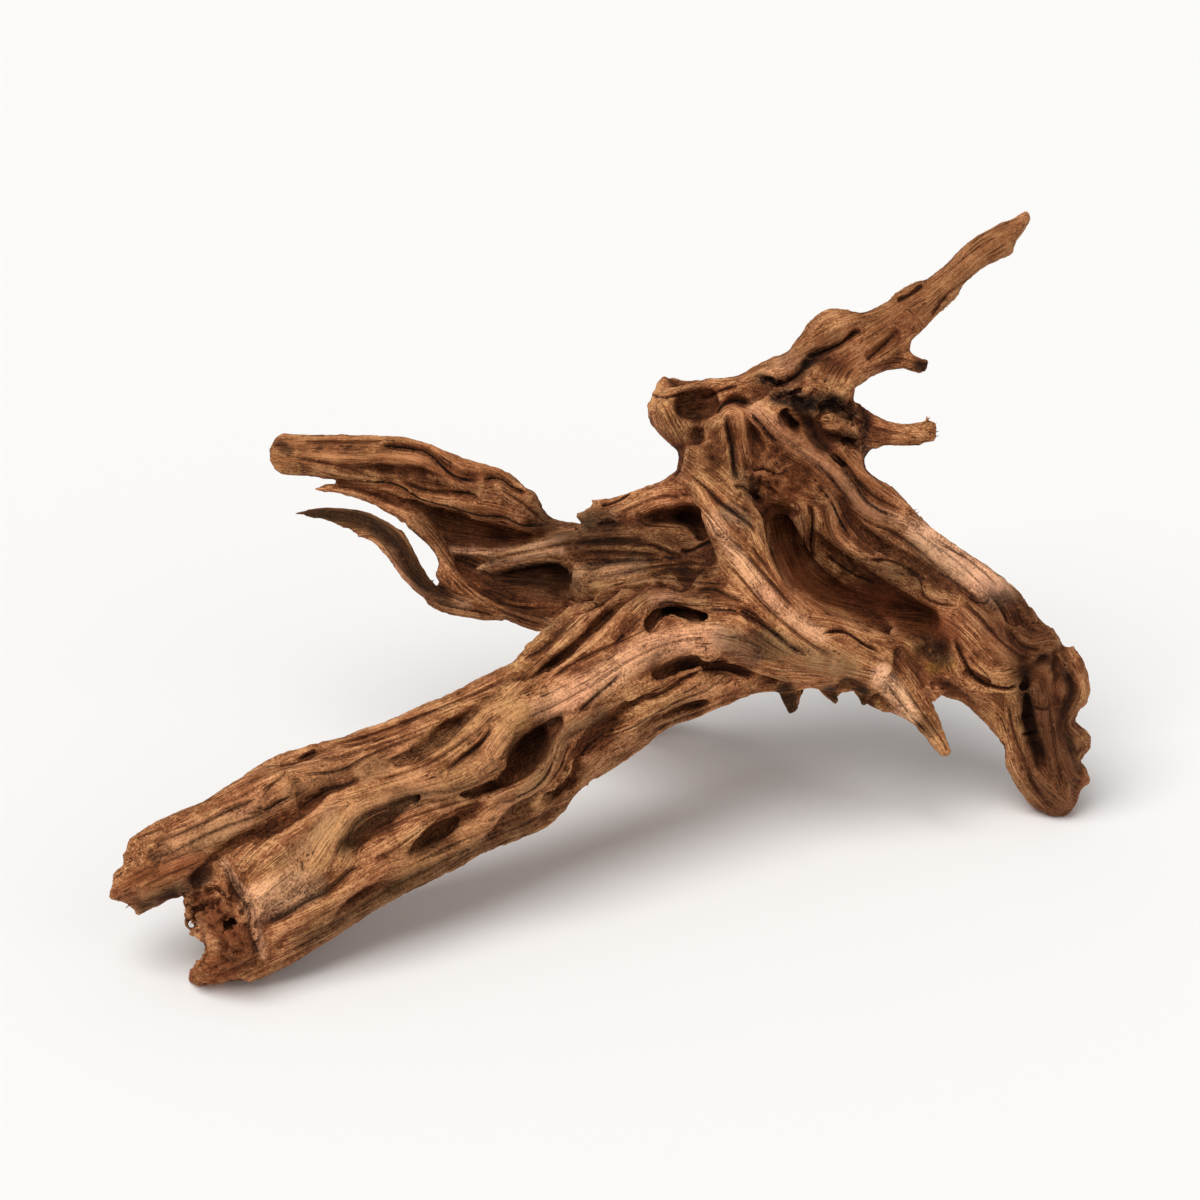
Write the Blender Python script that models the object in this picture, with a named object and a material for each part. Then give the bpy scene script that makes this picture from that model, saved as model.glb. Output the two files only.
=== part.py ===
"""A piece of driftwood: one grown root, with a heavy ribbed log that comes forward, a knotted hub with a
raised branch, a hollowed arm that bends down into a leg, and a thin scooped limb behind on the left.

It stands on three points: the broken end of the log, the tip of the leg, and a root behind the log.
The paths are read from a reference view, in pixels of its 1200 x 1200 frame, with the depth behind the
middle of the piece and the half sizes in millimetres. place() turns them into the part's own frame, in
metres, +Z up.
"""

import math

import bmesh
import bpy
from mathutils import Vector

# The reference view: its pixel pitch on the piece, its distance, how far it looks down, where its middle is
VIEW_MIDDLE_PX = 600.0
MM_PER_PIXEL = 0.5
VIEW_DISTANCE_MM = 1800.0
VIEW_DOWN_DEG = 25.0
VIEW_MIDDLE_M = Vector((-0.0106, 0.0578, 0.111))

# How finely the wood is shaped, in metres
PATH_STEP = 0.004
TUBE_SIDES = 12
VOXEL = 0.002
FINISHED_TRIANGLES = 11000
WEATHERING_PASSES = 2

# The heart of a limb is this share of its envelope: the ribs and the gaps between them lie over it
HEART_SHARE = 0.76
RIB_DEPTH_SHARE = 0.8
RIB_SUNK_SHARE = 0.55

RIGHT = Vector((1.0, 0.0, 0.0))
AWAY = Vector((0.0, math.cos(math.radians(VIEW_DOWN_DEG)), -math.sin(math.radians(VIEW_DOWN_DEG))))
UP = RIGHT.cross(AWAY)

# Limbs: (pixel across, pixel down, depth, half width, half depth)
LIMBS = {
    "log": [
        (190, 915, -122, 36, 30),
        (235, 893, -118, 40, 33),
        (300, 852, -108, 43, 36),
        (434, 788, -84, 39, 36),
        (560, 712, -56, 39, 38),
        (650, 660, -34, 38, 38),
        (740, 615, -14, 36, 38),
    ],
    "body": [
        (722, 420, 14, 14, 14),
        (716, 465, 4, 20, 26),
        (720, 515, -8, 22, 34),
        (740, 565, -16, 25, 40),
        (773, 612, -18, 26, 38),
        (818, 645, -18, 23, 32),
        (875, 668, -14, 16, 22),
    ],
    "throat": [(760, 420, 2, 20, 22), (768, 468, -4, 20, 26), (782, 500, 6, 16, 20)],
    "back_root": [
        (750, 590, 16, 24, 24),
        (706, 622, 44, 20, 18),
        (680, 668, 68, 15, 15),
        (650, 694, 96, 13, 13),
        (621, 728, 120, 9, 10),
    ],
    "fan": [
        (590, 540, 4, 16, 10), (640, 535, 0, 24, 18), (700, 540, -8, 30, 28), (760, 560, -12, 30, 30),
    ],
    "hub": [
        (662, 410, 6, 14, 13),
        (700, 414, 4, 19, 20),
        (760, 414, 4, 25, 26),
        (815, 404, 4, 26, 24),
        (840, 396, 6, 18, 18),
    ],
    "arm": [
        (800, 425, 4, 28, 26),
        (850, 505, 6, 32, 30),
        (915, 585, 8, 32, 30),
        (980, 638, 10, 32, 28),
        (1033, 690, 14, 25, 24),
        (1050, 750, 22, 18, 18),
        (1060, 800, 31, 11, 12),
    ],
    "branch": [
        (835, 362, 4, 22, 18),
        (858, 346, 4, 19, 16),
        (905, 314, 4, 12, 11),
        (945, 284, 4, 10, 9),
        (985, 250, 4, 10, 8),
        (1010, 235, 4, 7.5, 6),
        (1029, 217, 4, 3.5, 3),
    ],
    "upper_left_limb": [
        (266, 454, 22, 11, 10),
        (330, 458, 22, 11, 11),
        (400, 467, 22, 15, 13),
        (460, 483, 22, 13, 14),
        (510, 498, 20, 11, 13),
        (550, 522, 18, 5, 8),
        (590, 534, 14, 5, 8),
        (650, 545, 10, 10, 12),
    ],
}

# Sound pieces with no heart of their own, in the same five numbers
BRANCHLETS = {
    "limb_end": [(267, 455, 22, 10, 8), (300, 456, 22, 10, 10)],
    "scoop_wall": [
        (400, 500, 32, 6, 4),
        (450, 538, 34, 18, 6),
        (510, 568, 32, 27, 8),
        (570, 588, 24, 24, 12),
        (620, 590, 10, 22, 20),
        (690, 580, 4, 18, 18),
    ],
    "scoop_rim": [
        (305, 487, 18, 1.6, 1.7),
        (342, 489, 20, 3, 2.5),
        (395, 513, 20, 4.4, 3.5),
        (435, 550, 20, 5, 4),
        (455, 580, 20, 5, 5),
        (490, 607, 22, 5, 6),
        (540, 622, 22, 5, 8),
        (590, 620, 14, 8, 10),
    ],
    "lower_blade": [
        (288, 514, 10, 1.8, 2),
        (320, 513, 10, 4.8, 2.8),
        (360, 521, 12, 8, 3.4),
        (395, 546, 14, 9, 3.8),
        (416, 578, 18, 8.5, 4.2),
        (445, 603, 22, 6.6, 5),
        (490, 611, 26, 6.4, 6),
        (540, 612, 28, 7, 8),
        (590, 610, 20, 10, 10),
    ],
    "upper_blade": [
        (330, 486, 20, 2.4, 2), (380, 498, 22, 6, 3), (420, 523, 26, 8, 4), (460, 560, 30, 8, 5),
    ],
    "spur": [(436, 568, 24, 2.2, 2), (455, 586, 26, 3.6, 3), (485, 604, 28, 4, 4)],
    "finger_spike": [
        (585, 498, 0, 1.6, 1.6), (605, 503, 0, 3.2, 3), (640, 497, -2, 6, 5), (680, 478, -4, 9, 8),
    ],
    "finger_blunt": [
        (576, 515, -2, 3.2, 3.5), (590, 517, -4, 5, 6), (630, 512, -8, 8, 8), (680, 495, -12, 9, 10),
    ],
    "finger_long": [
        (450, 551, -2, 1.4, 1.5),
        (480, 553, -3, 2.6, 3),
        (520, 554, -4, 3.5, 4),
        (560, 545, -6, 5, 5),
        (610, 537, -10, 6, 6),
        (660, 540, -16, 7, 8),
    ],
    "finger_prong": [
        (477, 568, -4, 1.4, 1.5), (510, 560, -5, 2.8, 3), (550, 551, -6, 4, 4), (585, 545, -8, 4, 4),
    ],
    "finger_short": [
        (565, 562, -8, 2, 2), (590, 557, -10, 4, 4), (640, 552, -16, 6, 6), (700, 555, -24, 6, 8),
    ],
    "finger_wide": [
        (572, 575, -10, 2.5, 3),
        (592, 585, -14, 7, 7),
        (640, 579, -20, 8.5, 8),
        (700, 580, -28, 8.5, 9),
        (750, 602, -32, 8, 9),
    ],
    "bowl_floor": [
        (775, 490, 22, 14, 10), (800, 540, 24, 22, 11), (840, 582, 24, 26, 12), (895, 612, 22, 22, 12),
    ],
    "shoot": [
        (868, 366, 2, 7, 7), (890, 362, 0, 4.5, 5), (908, 365, -2, 4.4, 4.5), (928, 367, -4, 3.8, 3.8),
    ],
    "shoot_root": [(900, 330, 2, 8, 6), (908, 345, 0, 4, 4), (906, 360, -2, 4, 4)],
    "lower_shoot": [
        (850, 424, 4, 12, 12), (880, 432, 0, 7, 8), (905, 434, -4, 6, 6.5), (936, 431, -8, 6, 6),
    ],
    "spike_root": [(900, 645, -6, 10, 10), (922, 674, -4, 8, 9), (938, 696, 0, 4.5, 7)],
    "spike": [
        (868, 655, -18, 12, 12), (900, 686, -18, 10, 9), (918, 708, -16, 8, 7), (936, 730, -14, 4.6, 4.5),
        (950, 758, -13, 2.2, 2.3),
    ],
    "under_root": [(850, 676, 4, 8, 8), (880, 700, 4, 6, 6), (910, 716, 2, 4.5, 4), (936, 734, -4, 3, 3)],
    "under_stub_left": [(790, 672, 4, 9, 9), (790, 698, 6, 6.2, 5), (793, 713, 6, 4, 3)],
    "under_stub_middle": [(822, 672, 4, 8, 8), (832, 704, 4, 4.6, 3)],
    "arm_belly": [
        (925, 664, 8, 8, 12), (955, 684, 10, 9, 12), (984, 706, 12, 8.5, 12), (1006, 738, 16, 7, 11),
        (1020, 775, 24, 6.5, 8),
    ],
    "leg_lobe_upper": [
        (1048, 648, 8, 8, 8), (1072, 670, 6, 7.5, 8), (1080, 692, 6, 6, 7), (1070, 716, 8, 5, 6),
    ],
    "leg_lobe_lower": [(1060, 725, 12, 6, 8), (1078, 738, 12, 7, 8), (1075, 756, 14, 5, 6)],
    "leg_plate": [(1052, 762, 22, 7, 7), (1076, 777, 22, 8, 6), (1090, 787, 22, 3, 4)],
    "leg_tip": [
        (1042, 766, 24, 16, 12), (1046, 790, 28, 14.5, 11), (1058, 806, 30, 11, 9), (1064, 822, 32, 4, 5),
    ],
    "shoulder": [(1000, 592, 4, 9, 9), (1035, 624, 2, 9, 10), (1055, 642, 2, 7, 9)],
    "pot_wall": [
        (664, 374, 4, 3.4, 4), (660, 396, 5, 5, 7), (660, 416, 6, 7, 9), (676, 440, 5, 7, 9),
        (690, 462, 2, 8, 10),
    ],
    "pot_back": [(664, 386, 14, 6, 6), (700, 392, 16, 8, 7), (745, 390, 16, 8, 8)],
    "hub_crest": [
        (735, 386, 6, 5, 12), (775, 374, 2, 8, 12), (808, 355, 0, 10, 12), (835, 332, -2, 11, 12),
        (868, 327, 0, 7, 9),
    ],
    "log_tongue": [
        (110, 896, -132, 3, 4),
        (125, 886, -131, 10, 8),
        (145, 871, -130, 19, 10),
        (180, 852, -128, 20, 12),
        (230, 826, -124, 20, 16),
        (290, 796, -118, 18, 20),
    ],
    "log_barbs": [(133, 915, -130, 2.4, 3), (145, 900, -130, 5, 5), (175, 880, -128, 8, 8)],
    "log_crumbs": [(186, 905, -122, 5, 7), (215, 902, -118, 9, 10), (245, 892, -114, 10, 14)],
    "log_crumbs_low": [(183, 926, -122, 3.5, 5), (212, 922, -120, 6, 9), (250, 905, -116, 10, 14)],
    "log_heart_rag": [(206, 950, -120, 4, 6), (232, 935, -119, 10, 12), (262, 915, -116, 12, 16)],
    "log_toe": [(188, 976, -124, 5.5, 7), (222, 962, -122, 11, 11), (262, 940, -118, 14, 18)],
    "back_rootlet": [(694, 646, 56, 9, 9), (676, 686, 56, 5.5, 5.5), (668, 712, 52, 3, 3)],
    "back_knot": [(800, 560, 34, 16, 8), (826, 578, 38, 13, 8)],
}

# Ribs that lie on the front of the limbs: (pixel across, pixel down, half width)
RIBS = {
    "log_top": [
        (180, 832, 5), (215, 806, 5), (262, 772, 6), (300, 758, 6), (350, 744, 5), (400, 728, 6),
        (450, 705, 7), (500, 684, 7), (536, 652, 6), (575, 616, 6), (620, 590, 5), (680, 582, 5),
    ],
    "log_plank": [
        (150, 868, 9), (200, 846, 9), (250, 812, 9), (300, 782, 8), (350, 764, 7), (400, 746, 6),
        (432, 728, 4),
    ],
    "log_plank_low": [(140, 895, 6), (180, 872, 6), (215, 838, 5), (262, 812, 5)],
    "log_middle": [
        (240, 866, 6), (275, 846, 6), (310, 822, 5), (345, 798, 5), (400, 778, 5), (450, 752, 6),
        (488, 714, 6), (512, 694, 5), (545, 686, 5), (590, 658, 5), (612, 640, 4),
    ],
    "log_ridge_b": [
        (575, 650, 5), (605, 640, 5), (628, 616, 6), (650, 600, 6), (690, 597, 5), (735, 604, 5),
        (780, 628, 6),
    ],
    "log_main": [
        (262, 892, 9), (296, 872, 9), (322, 838, 7), (355, 808, 7), (410, 787, 7), (460, 772, 7),
        (490, 748, 7), (512, 716, 8), (560, 694, 8), (600, 672, 9), (640, 652, 10), (690, 638, 10),
        (740, 644, 11), (790, 658, 12), (840, 666, 11),
    ],
    "log_low": [
        (246, 940, 9), (300, 905, 8), (345, 872, 7), (390, 836, 6), (440, 808, 5), (490, 798, 6),
        (525, 787, 6), (550, 766, 5), (556, 740, 5), (572, 718, 7), (610, 700, 6), (645, 684, 5),
        (672, 668, 4),
    ],
    "log_keel": [
        (240, 968, 9), (300, 940, 9), (350, 911, 8), (400, 882, 7), (450, 857, 7), (500, 833, 7),
        (545, 815, 7), (578, 780, 6), (620, 745, 6), (655, 714, 6), (700, 690, 5), (760, 682, 4),
    ],
    "log_hem": [(600, 764, 5), (640, 738, 5), (680, 715, 4), (720, 700, 4), (770, 687, 5), (830, 680, 5)],
    "body_edge": [
        (690, 478, 5), (712, 512, 6), (735, 545, 7), (762, 588, 7), (800, 628, 8), (850, 654, 9),
        (890, 668, 8),
    ],
    "body_strand": [
        (690, 462, 5), (716, 492, 5), (742, 522, 5), (758, 552, 5), (776, 586, 5), (806, 614, 6),
        (850, 628, 7), (905, 650, 8),
    ],
    "belly": [(716, 565, 7), (745, 590, 8), (775, 622, 8), (812, 655, 9)],
    "hub_rib_left": [(724, 410, 5), (726, 440, 5), (732, 470, 6)],
    "hub_rib_right": [
        (756, 404, 5), (772, 428, 6), (800, 452, 6), (832, 484, 6), (862, 510, 5), (900, 530, 5),
    ],
    "hub_rib_outer": [
        (832, 446, 5), (852, 474, 6), (884, 502, 6), (920, 530, 6), (960, 558, 8), (1000, 592, 8),
    ],
    "arm_top": [(905, 506, 5), (935, 536, 6), (970, 562, 6), (1010, 592, 6)],
    "bowl_wave_left": [(812, 480, 4), (834, 512, 4), (842, 540, 4), (870, 562, 5), (900, 568, 4)],
    "bowl_wave_right": [
        (840, 500, 4), (856, 528, 4), (884, 548, 5), (925, 560, 6), (970, 596, 8), (1002, 636, 8),
    ],
    "arm_ridge": [(920, 585, 7), (955, 620, 9), (985, 652, 9)],
    "arm_lower": [(930, 650, 7), (965, 674, 8), (995, 700, 8), (1012, 735, 7), (1028, 775, 7)],
    "leg_middle": [(1008, 640, 7), (1040, 664, 7), (1044, 700, 6), (1046, 740, 6), (1058, 780, 6)],
    "branch_top": [
        (812, 343, 7), (840, 327, 8), (875, 324, 7), (905, 300, 5), (942, 278, 5), (975, 246, 5),
        (1008, 224, 4),
    ],
    "branch_low": [
        (835, 385, 8), (862, 362, 7), (893, 340, 7), (922, 321, 5), (952, 292, 5), (975, 268, 5),
        (1005, 250, 4),
    ],
    "limb_top": [
        (276, 441, 5), (340, 444, 5), (400, 445, 5), (436, 455, 5), (476, 470, 5), (510, 485, 6),
        (540, 508, 4), (556, 522, 3),
    ],
    "limb_low": [
        (276, 466, 5), (340, 470, 5), (385, 482, 4), (432, 500, 4), (480, 508, 4), (530, 520, 4),
    ],
}

# Valleys between the ribs, cut into the front in the same three numbers
GROOVES = {
    "log_slot": [
        (186, 886, 2), (204, 872, 3.5), (230, 845, 3.5), (272, 827, 4), (300, 811, 3.5), (322, 796, 2.5),
    ],
    "log_trough": [
        (326, 790, 2), (358, 778, 2.5), (400, 764, 3.5), (432, 744, 4.5), (455, 724, 4.5), (482, 706, 2),
    ],
    "log_split": [(262, 922, 1.5), (290, 914, 2), (320, 897, 2.5), (345, 876, 2.5), (368, 858, 2)],
    "log_flank": [
        (352, 838, 2), (372, 815, 2.5), (400, 802, 3), (440, 793, 3), (480, 788, 3.5), (516, 772, 5.5),
        (540, 745, 6), (560, 724, 3), (600, 697, 1.5),
    ],
    "log_eye": [(405, 853, 2), (425, 838, 4), (445, 824, 5), (470, 812, 4), (486, 805, 2)],
    "log_heel": [(500, 818, 1.5), (535, 806, 2.5), (560, 793, 4), (573, 775, 4.5), (582, 757, 2.5)],
    "slot_high": [
        (515, 688, 2), (532, 675, 4), (556, 661, 4.5), (582, 640, 3), (602, 622, 4), (620, 605, 3.5),
        (642, 590, 2),
    ],
    "recess": [(640, 640, 2), (652, 622, 4), (668, 611, 5), (700, 617, 4), (728, 622, 3), (752, 632, 2)],
    "under_main": [
        (612, 703, 1.5), (640, 689, 2.5), (662, 674, 4), (690, 664, 5), (722, 666, 4), (755, 678, 2),
    ],
    "low_fold": [(640, 728, 2), (665, 713, 3), (700, 702, 3), (735, 694, 2)],
    "fan_line": [(580, 547, 2), (640, 541, 2), (668, 546, 2.5), (692, 553, 2.5), (716, 543, 2)],
    "fan_low": [
        (572, 602, 2.5), (600, 597, 3.5), (650, 586, 3), (690, 593, 3), (716, 594, 2), (740, 604, 2),
    ],
    "fan_mid": [(600, 566, 2), (640, 563, 2), (680, 569, 2.5), (710, 577, 2)],
    "body_crack": [(700, 475, 1.5), (715, 500, 2), (745, 528, 2), (765, 560, 1.5)],
    "arm_valley": [(820, 440, 2), (838, 462, 3), (862, 492, 3), (890, 515, 3.5), (925, 534, 2)],
    "arm_furrow": [(838, 490, 2), (850, 520, 3.5), (878, 545, 3.5), (915, 562, 3), (950, 590, 2)],
    "leg_groove": [(1018, 665, 2.5), (1026, 692, 3), (1028, 720, 3.5), (1038, 755, 3), (1046, 790, 2)],
    "leg_side": [(1062, 655, 2), (1066, 685, 2.5), (1062, 715, 2.5), (1062, 740, 2)],
    "arm_arc": [(950, 650, 2), (970, 672, 3), (1000, 684, 2.5), (1018, 688, 2)],
    "arm_step": [(985, 588, 2), (1004, 608, 3), (1014, 635, 3), (1040, 652, 2)],
    "branch_crack": [(800, 358, 2), (830, 346, 2.5), (857, 332, 2)],
    "hub_pit": [(778, 404, 2), (788, 420, 4), (800, 434, 3)],
    "hub_crack": [(730, 418, 2), (734, 445, 2.5), (738, 470, 2)],
    "hub_char": [(822, 432, 2), (840, 441, 3), (858, 446, 2.5)],
    "limb_groove": [(355, 468, 1.5), (400, 469, 3), (425, 481, 3), (455, 495, 2.5), (490, 498, 1.5)],
}
GROOVE_DEPTH_SHARE = 1.5
GROOVE_SUNK_SHARE = 0.3

# Rot hollows and gaps worn through the front, cut along the same five numbers
HOLLOWS = {
    "bowl": [
        (773, 502, -20, 6, 16), (785, 540, -22, 14, 25), (822, 582, -20, 19, 27), (880, 608, -16, 14, 22),
        (935, 627, -14, 8, 12),
    ],
    "fan_pocket": [
        (632, 522, -26, 3, 14), (665, 516, -26, 6, 18), (695, 520, -28, 7, 20), (708, 538, -34, 4, 12),
    ],
    "pot": [(676, 404, -16, 6, 16), (696, 404, -16, 9, 20), (716, 400, -18, 7, 16)],
    "pot_low": [(688, 438, -16, 4, 14), (704, 436, -18, 5, 16)],
    "scoop": [(420, 512, 8, 5, 14), (460, 532, 8, 12, 22), (510, 545, 6, 12, 22), (552, 540, 4, 6, 18)],
    "scoop_low": [(500, 574, 4, 4, 12), (535, 582, 4, 8, 18), (566, 582, 2, 7, 18)],
    "eye_middle": [(515, 765, -112, 5, 18), (540, 742, -108, 7, 22), (562, 722, -104, 3, 16)],
    "slot_body": [(648, 634, -78, 3, 14), (668, 615, -76, 5, 18), (705, 618, -66, 3, 14)],
    "log_mouth": [(196, 884, -150, 5, 30), (225, 862, -150, 4, 26)],
}

# The outline of the whole piece in the reference view, which its edges are worn back to
OUTLINE = [
    (108, 896), (113, 880), (125, 866), (122, 858), (130, 848), (125, 842), (143, 828), (165, 818),
    (200, 804), (220, 791), (240, 779), (260, 763), (280, 753), (300, 747), (340, 737), (380, 723),
    (400, 714), (440, 698), (480, 679), (500, 669), (515, 662), (525, 650), (540, 636), (505, 619),
    (480, 620), (440, 612), (427, 606), (425, 598), (415, 592), (397, 572), (385, 555), (370, 540),
    (355, 532), (320, 521), (295, 516), (290, 514), (310, 507), (325, 505), (365, 509), (390, 521),
    (400, 528), (410, 540), (420, 560), (432, 582), (446, 590), (437, 573), (440, 565), (435, 552),
    (410, 528), (400, 517), (360, 500), (315, 490), (307, 487), (320, 484), (335, 482), (320, 478),
    (280, 476), (270, 462), (268, 450), (278, 433), (285, 431), (320, 435), (360, 432), (400, 435),
    (420, 440), (440, 448), (460, 457), (480, 461), (510, 473), (520, 486), (535, 495), (545, 515),
    (555, 520), (585, 527), (577, 520), (575, 512), (598, 506), (588, 499), (605, 499), (625, 494),
    (655, 484), (675, 474), (681, 460), (680, 453), (665, 440), (650, 422), (646, 412), (652, 395),
    (659, 378), (665, 374), (680, 381), (720, 379), (745, 375), (750, 368), (765, 358), (780, 357),
    (790, 352), (800, 335), (803, 328), (815, 320), (838, 310), (865, 313), (885, 303), (900, 290),
    (913, 283), (930, 278), (950, 261), (958, 249), (978, 234), (995, 225), (1010, 217), (1027, 212),
    (1032, 216), (1030, 227), (1016, 240), (1017, 249), (1000, 260), (982, 268), (965, 282), (955, 297),
    (938, 315), (925, 331), (908, 341), (912, 357), (927, 361), (929, 366), (918, 374), (900, 368),
    (880, 372), (860, 385), (855, 390), (857, 398), (875, 413), (890, 422), (905, 424), (925, 420),
    (938, 422), (933, 438), (915, 447), (895, 444), (866, 450), (862, 460), (865, 472), (878, 480),
    (890, 487), (900, 497), (910, 508), (930, 528), (960, 548), (980, 560), (1000, 576), (1020, 592),
    (1030, 610), (1038, 620), (1055, 630), (1063, 645), (1075, 657), (1086, 675), (1087, 690),
    (1086, 703), (1075, 715), (1073, 724), (1086, 735), (1089, 745), (1082, 760), (1090, 775),
    (1092, 782), (1078, 792), (1078, 805), (1062, 818), (1048, 815), (1030, 803), (1017, 785),
    (1006, 763), (1008, 750), (998, 735), (980, 717), (962, 700), (935, 697), (940, 706), (945, 730),
    (953, 745), (954, 755), (948, 760), (942, 757), (928, 733), (900, 717), (866, 707), (858, 688),
    (841, 697), (832, 703), (820, 690), (802, 688), (799, 713), (785, 708), (777, 692), (760, 693),
    (735, 700), (705, 717), (690, 718), (670, 724), (650, 742), (630, 757), (600, 776), (580, 790),
    (570, 803), (560, 817), (545, 830), (520, 840), (480, 852), (460, 865), (440, 878), (400, 897),
    (370, 913), (340, 933), (310, 953), (270, 978), (246, 987), (228, 979), (205, 987), (187, 984),
    (192, 968), (208, 955), (207, 943), (195, 935), (182, 926), (186, 912), (184, 903), (188, 894),
    (170, 900), (150, 910), (138, 918), (133, 916), (130, 904), (118, 908),
]
OUTLINE_NEAR_MM = -230.0
OUTLINE_FAR_MM = 200.0

# Ribs on the sides that the view doesn't reach: the limb, how many, between which degrees, half width in mm
BACK_RIBS = (
    ("log", 6, (195, 345), 8.0),
    ("body", 4, (215, 325), 7.0),
    ("arm", 5, (200, 340), 7.0),
    ("back_root", 6, (0, 300), 5.0),
    ("hub", 3, (220, 320), 8.0),
    ("branch", 3, (210, 330), 3.5),
    ("upper_left_limb", 3, (210, 330), 4.0),
)
BACK_RIB_SWAY_DEG = 13.0
BACK_RIB_WAVE_M = 0.085
BACK_RIB_SWELL = 0.2
BACK_RIB_MOST_SHARE = 0.45

WOOD_COLOUR = (0.30, 0.14, 0.065, 1.0)
WOOD_ROUGHNESS = 0.85


def clear_scene():
    for thing in list(bpy.data.objects):
        bpy.data.objects.remove(thing, do_unlink=True)


def place(across_px, down_px, depth_mm):
    """The point seen at that pixel, that far behind the middle of the piece, in the part's frame."""
    spread = MM_PER_PIXEL * (1 + depth_mm / VIEW_DISTANCE_MM)
    across = (across_px - VIEW_MIDDLE_PX) * spread
    up = (VIEW_MIDDLE_PX - down_px) * spread
    return VIEW_MIDDLE_M + (RIGHT * across + UP * up + AWAY * depth_mm) / 1000


def drawn_through(points, pieces):
    """A smooth path through the points, as Catmull-Rom, with that many pieces to each stretch."""
    ends = [points[0], *points, points[-1]]
    path = []
    for before, start, end, after in zip(ends, ends[1:], ends[2:], ends[3:]):
        for i in range(pieces):
            t = i / pieces
            path.append(tuple(
                b + 0.5 * t * (c - a + (2 * a - 5 * b + 4 * c - d) * t + (3 * b - a - 3 * c + d) * t**2)
                for a, b, c, d in zip(before, start, end, after)
            ))
    return [*path, tuple(points[-1])]


def stretch_pieces(points):
    """Pieces to a stretch that keep a path's steps near PATH_STEP."""
    longest = max(math.dist(a[:2], b[:2]) for a, b in zip(points, points[1:]))
    return max(2, round(longest * MM_PER_PIXEL / 1000 / PATH_STEP))


def frames(centres):
    """At each centre, the directions across the view and towards the viewer, square to the path."""
    made = []
    for i in range(len(centres)):
        along = (centres[min(i + 1, len(centres) - 1)] - centres[max(i - 1, 0)]).normalized()
        side = along.cross(AWAY).normalized()
        made.append((side, side.cross(along).normalized()))
    return made


def tube(shape, centres, half_widths, half_depths):
    """Adds a closed tube of oval section to the bmesh."""
    rings = []
    for centre, (side, front), width, depth in zip(centres, frames(centres), half_widths, half_depths):
        turns = [2 * math.pi * k / TUBE_SIDES for k in range(TUBE_SIDES)]
        rings.append([
            shape.verts.new(centre + side * (width * math.cos(turn)) + front * (depth * math.sin(turn)))
            for turn in turns
        ])
    for first, second in zip(rings, rings[1:]):
        for k in range(TUBE_SIDES):
            after = (k + 1) % TUBE_SIDES
            shape.faces.new((first[k], first[after], second[after], second[k]))
    shape.faces.new(rings[0][::-1])
    shape.faces.new(rings[-1])


def tube_of(shape, points, share=1.0):
    """Adds the tube of a path of five numbers, its section scaled by share."""
    path = drawn_through(points, stretch_pieces(points))
    centres = [place(*point[:3]) for point in path]
    tube(shape, centres, [p[3] * share / 1000 for p in path], [p[4] * share / 1000 for p in path])


def front_depth(across_px, down_px, limb_paths):
    """How deep the front of the limbs lies at that pixel, in millimetres: the nearest limb's oval face."""
    found = []
    nearest = (math.inf, 0.0)
    for path in limb_paths:
        point = min(path, key=lambda p: math.hypot(p[0] - across_px, p[1] - down_px))
        gap = math.hypot(point[0] - across_px, point[1] - down_px) * MM_PER_PIXEL
        reach = gap / point[3]
        nearest = min(nearest, (reach, point[2]))
        if reach < 1:
            found.append(point[2] - point[4] * math.sqrt(1 - reach**2))
    return min(found) if found else nearest[1]


def front_strand(shape, points, limb_paths, depth_share, sunk_share):
    """Adds a strand of three numbers along the front face of the limbs, sunk in by a share of its width."""
    path = drawn_through(points, stretch_pieces(points))
    faces = [front_depth(x, y, limb_paths) for x, y, _ in path]
    depths = [sum(faces[max(i - 3, 0):i + 4]) / len(faces[max(i - 3, 0):i + 4]) for i in range(len(faces))]
    centres = [place(x, y, depth + width * sunk_share) for (x, y, width), depth in zip(path, depths)]
    tube(shape, centres, [p[2] / 1000 for p in path], [p[2] * depth_share / 1000 for p in path])


def back_ribs(shape, limb_path, count, span_deg, half_width):
    """Adds ribs that wander along the side of a limb that the view doesn't reach."""
    centres = [place(*point[:3]) for point in limb_path]
    sections = frames(centres)
    for k in range(count):
        middle = math.radians(span_deg[0] + (span_deg[1] - span_deg[0]) * k / (count - 1))
        run, line, widths = 0.0, [], []
        for i, (centre, (side, front), point) in enumerate(zip(centres, sections, limb_path)):
            run += (centre - centres[max(i - 1, 0)]).length
            sway = math.sin(2 * math.pi * (run / BACK_RIB_WAVE_M + 0.37 * k))
            turn = middle + math.radians(BACK_RIB_SWAY_DEG) * sway
            width = min(half_width, BACK_RIB_MOST_SHARE * point[3]) * (1 + BACK_RIB_SWELL * sway)
            across = side * ((point[3] - width) * math.cos(turn))
            back = front * ((point[4] - width / 2) * math.sin(turn))
            line.append(centre + (across + back) / 1000)
            widths.append(width / 1000)
        tube(shape, line, widths, widths)


def mesh_of(name, build):
    """A mesh object from a function that fills a bmesh."""
    shape = bmesh.new()
    build(shape)
    bmesh.ops.triangulate(shape, faces=[f for f in shape.faces if len(f.verts) > 4])
    mesh = bpy.data.meshes.new(name)
    shape.to_mesh(mesh)
    shape.free()
    made = bpy.data.objects.new(name, mesh)
    bpy.context.scene.collection.objects.link(made)
    return made


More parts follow.
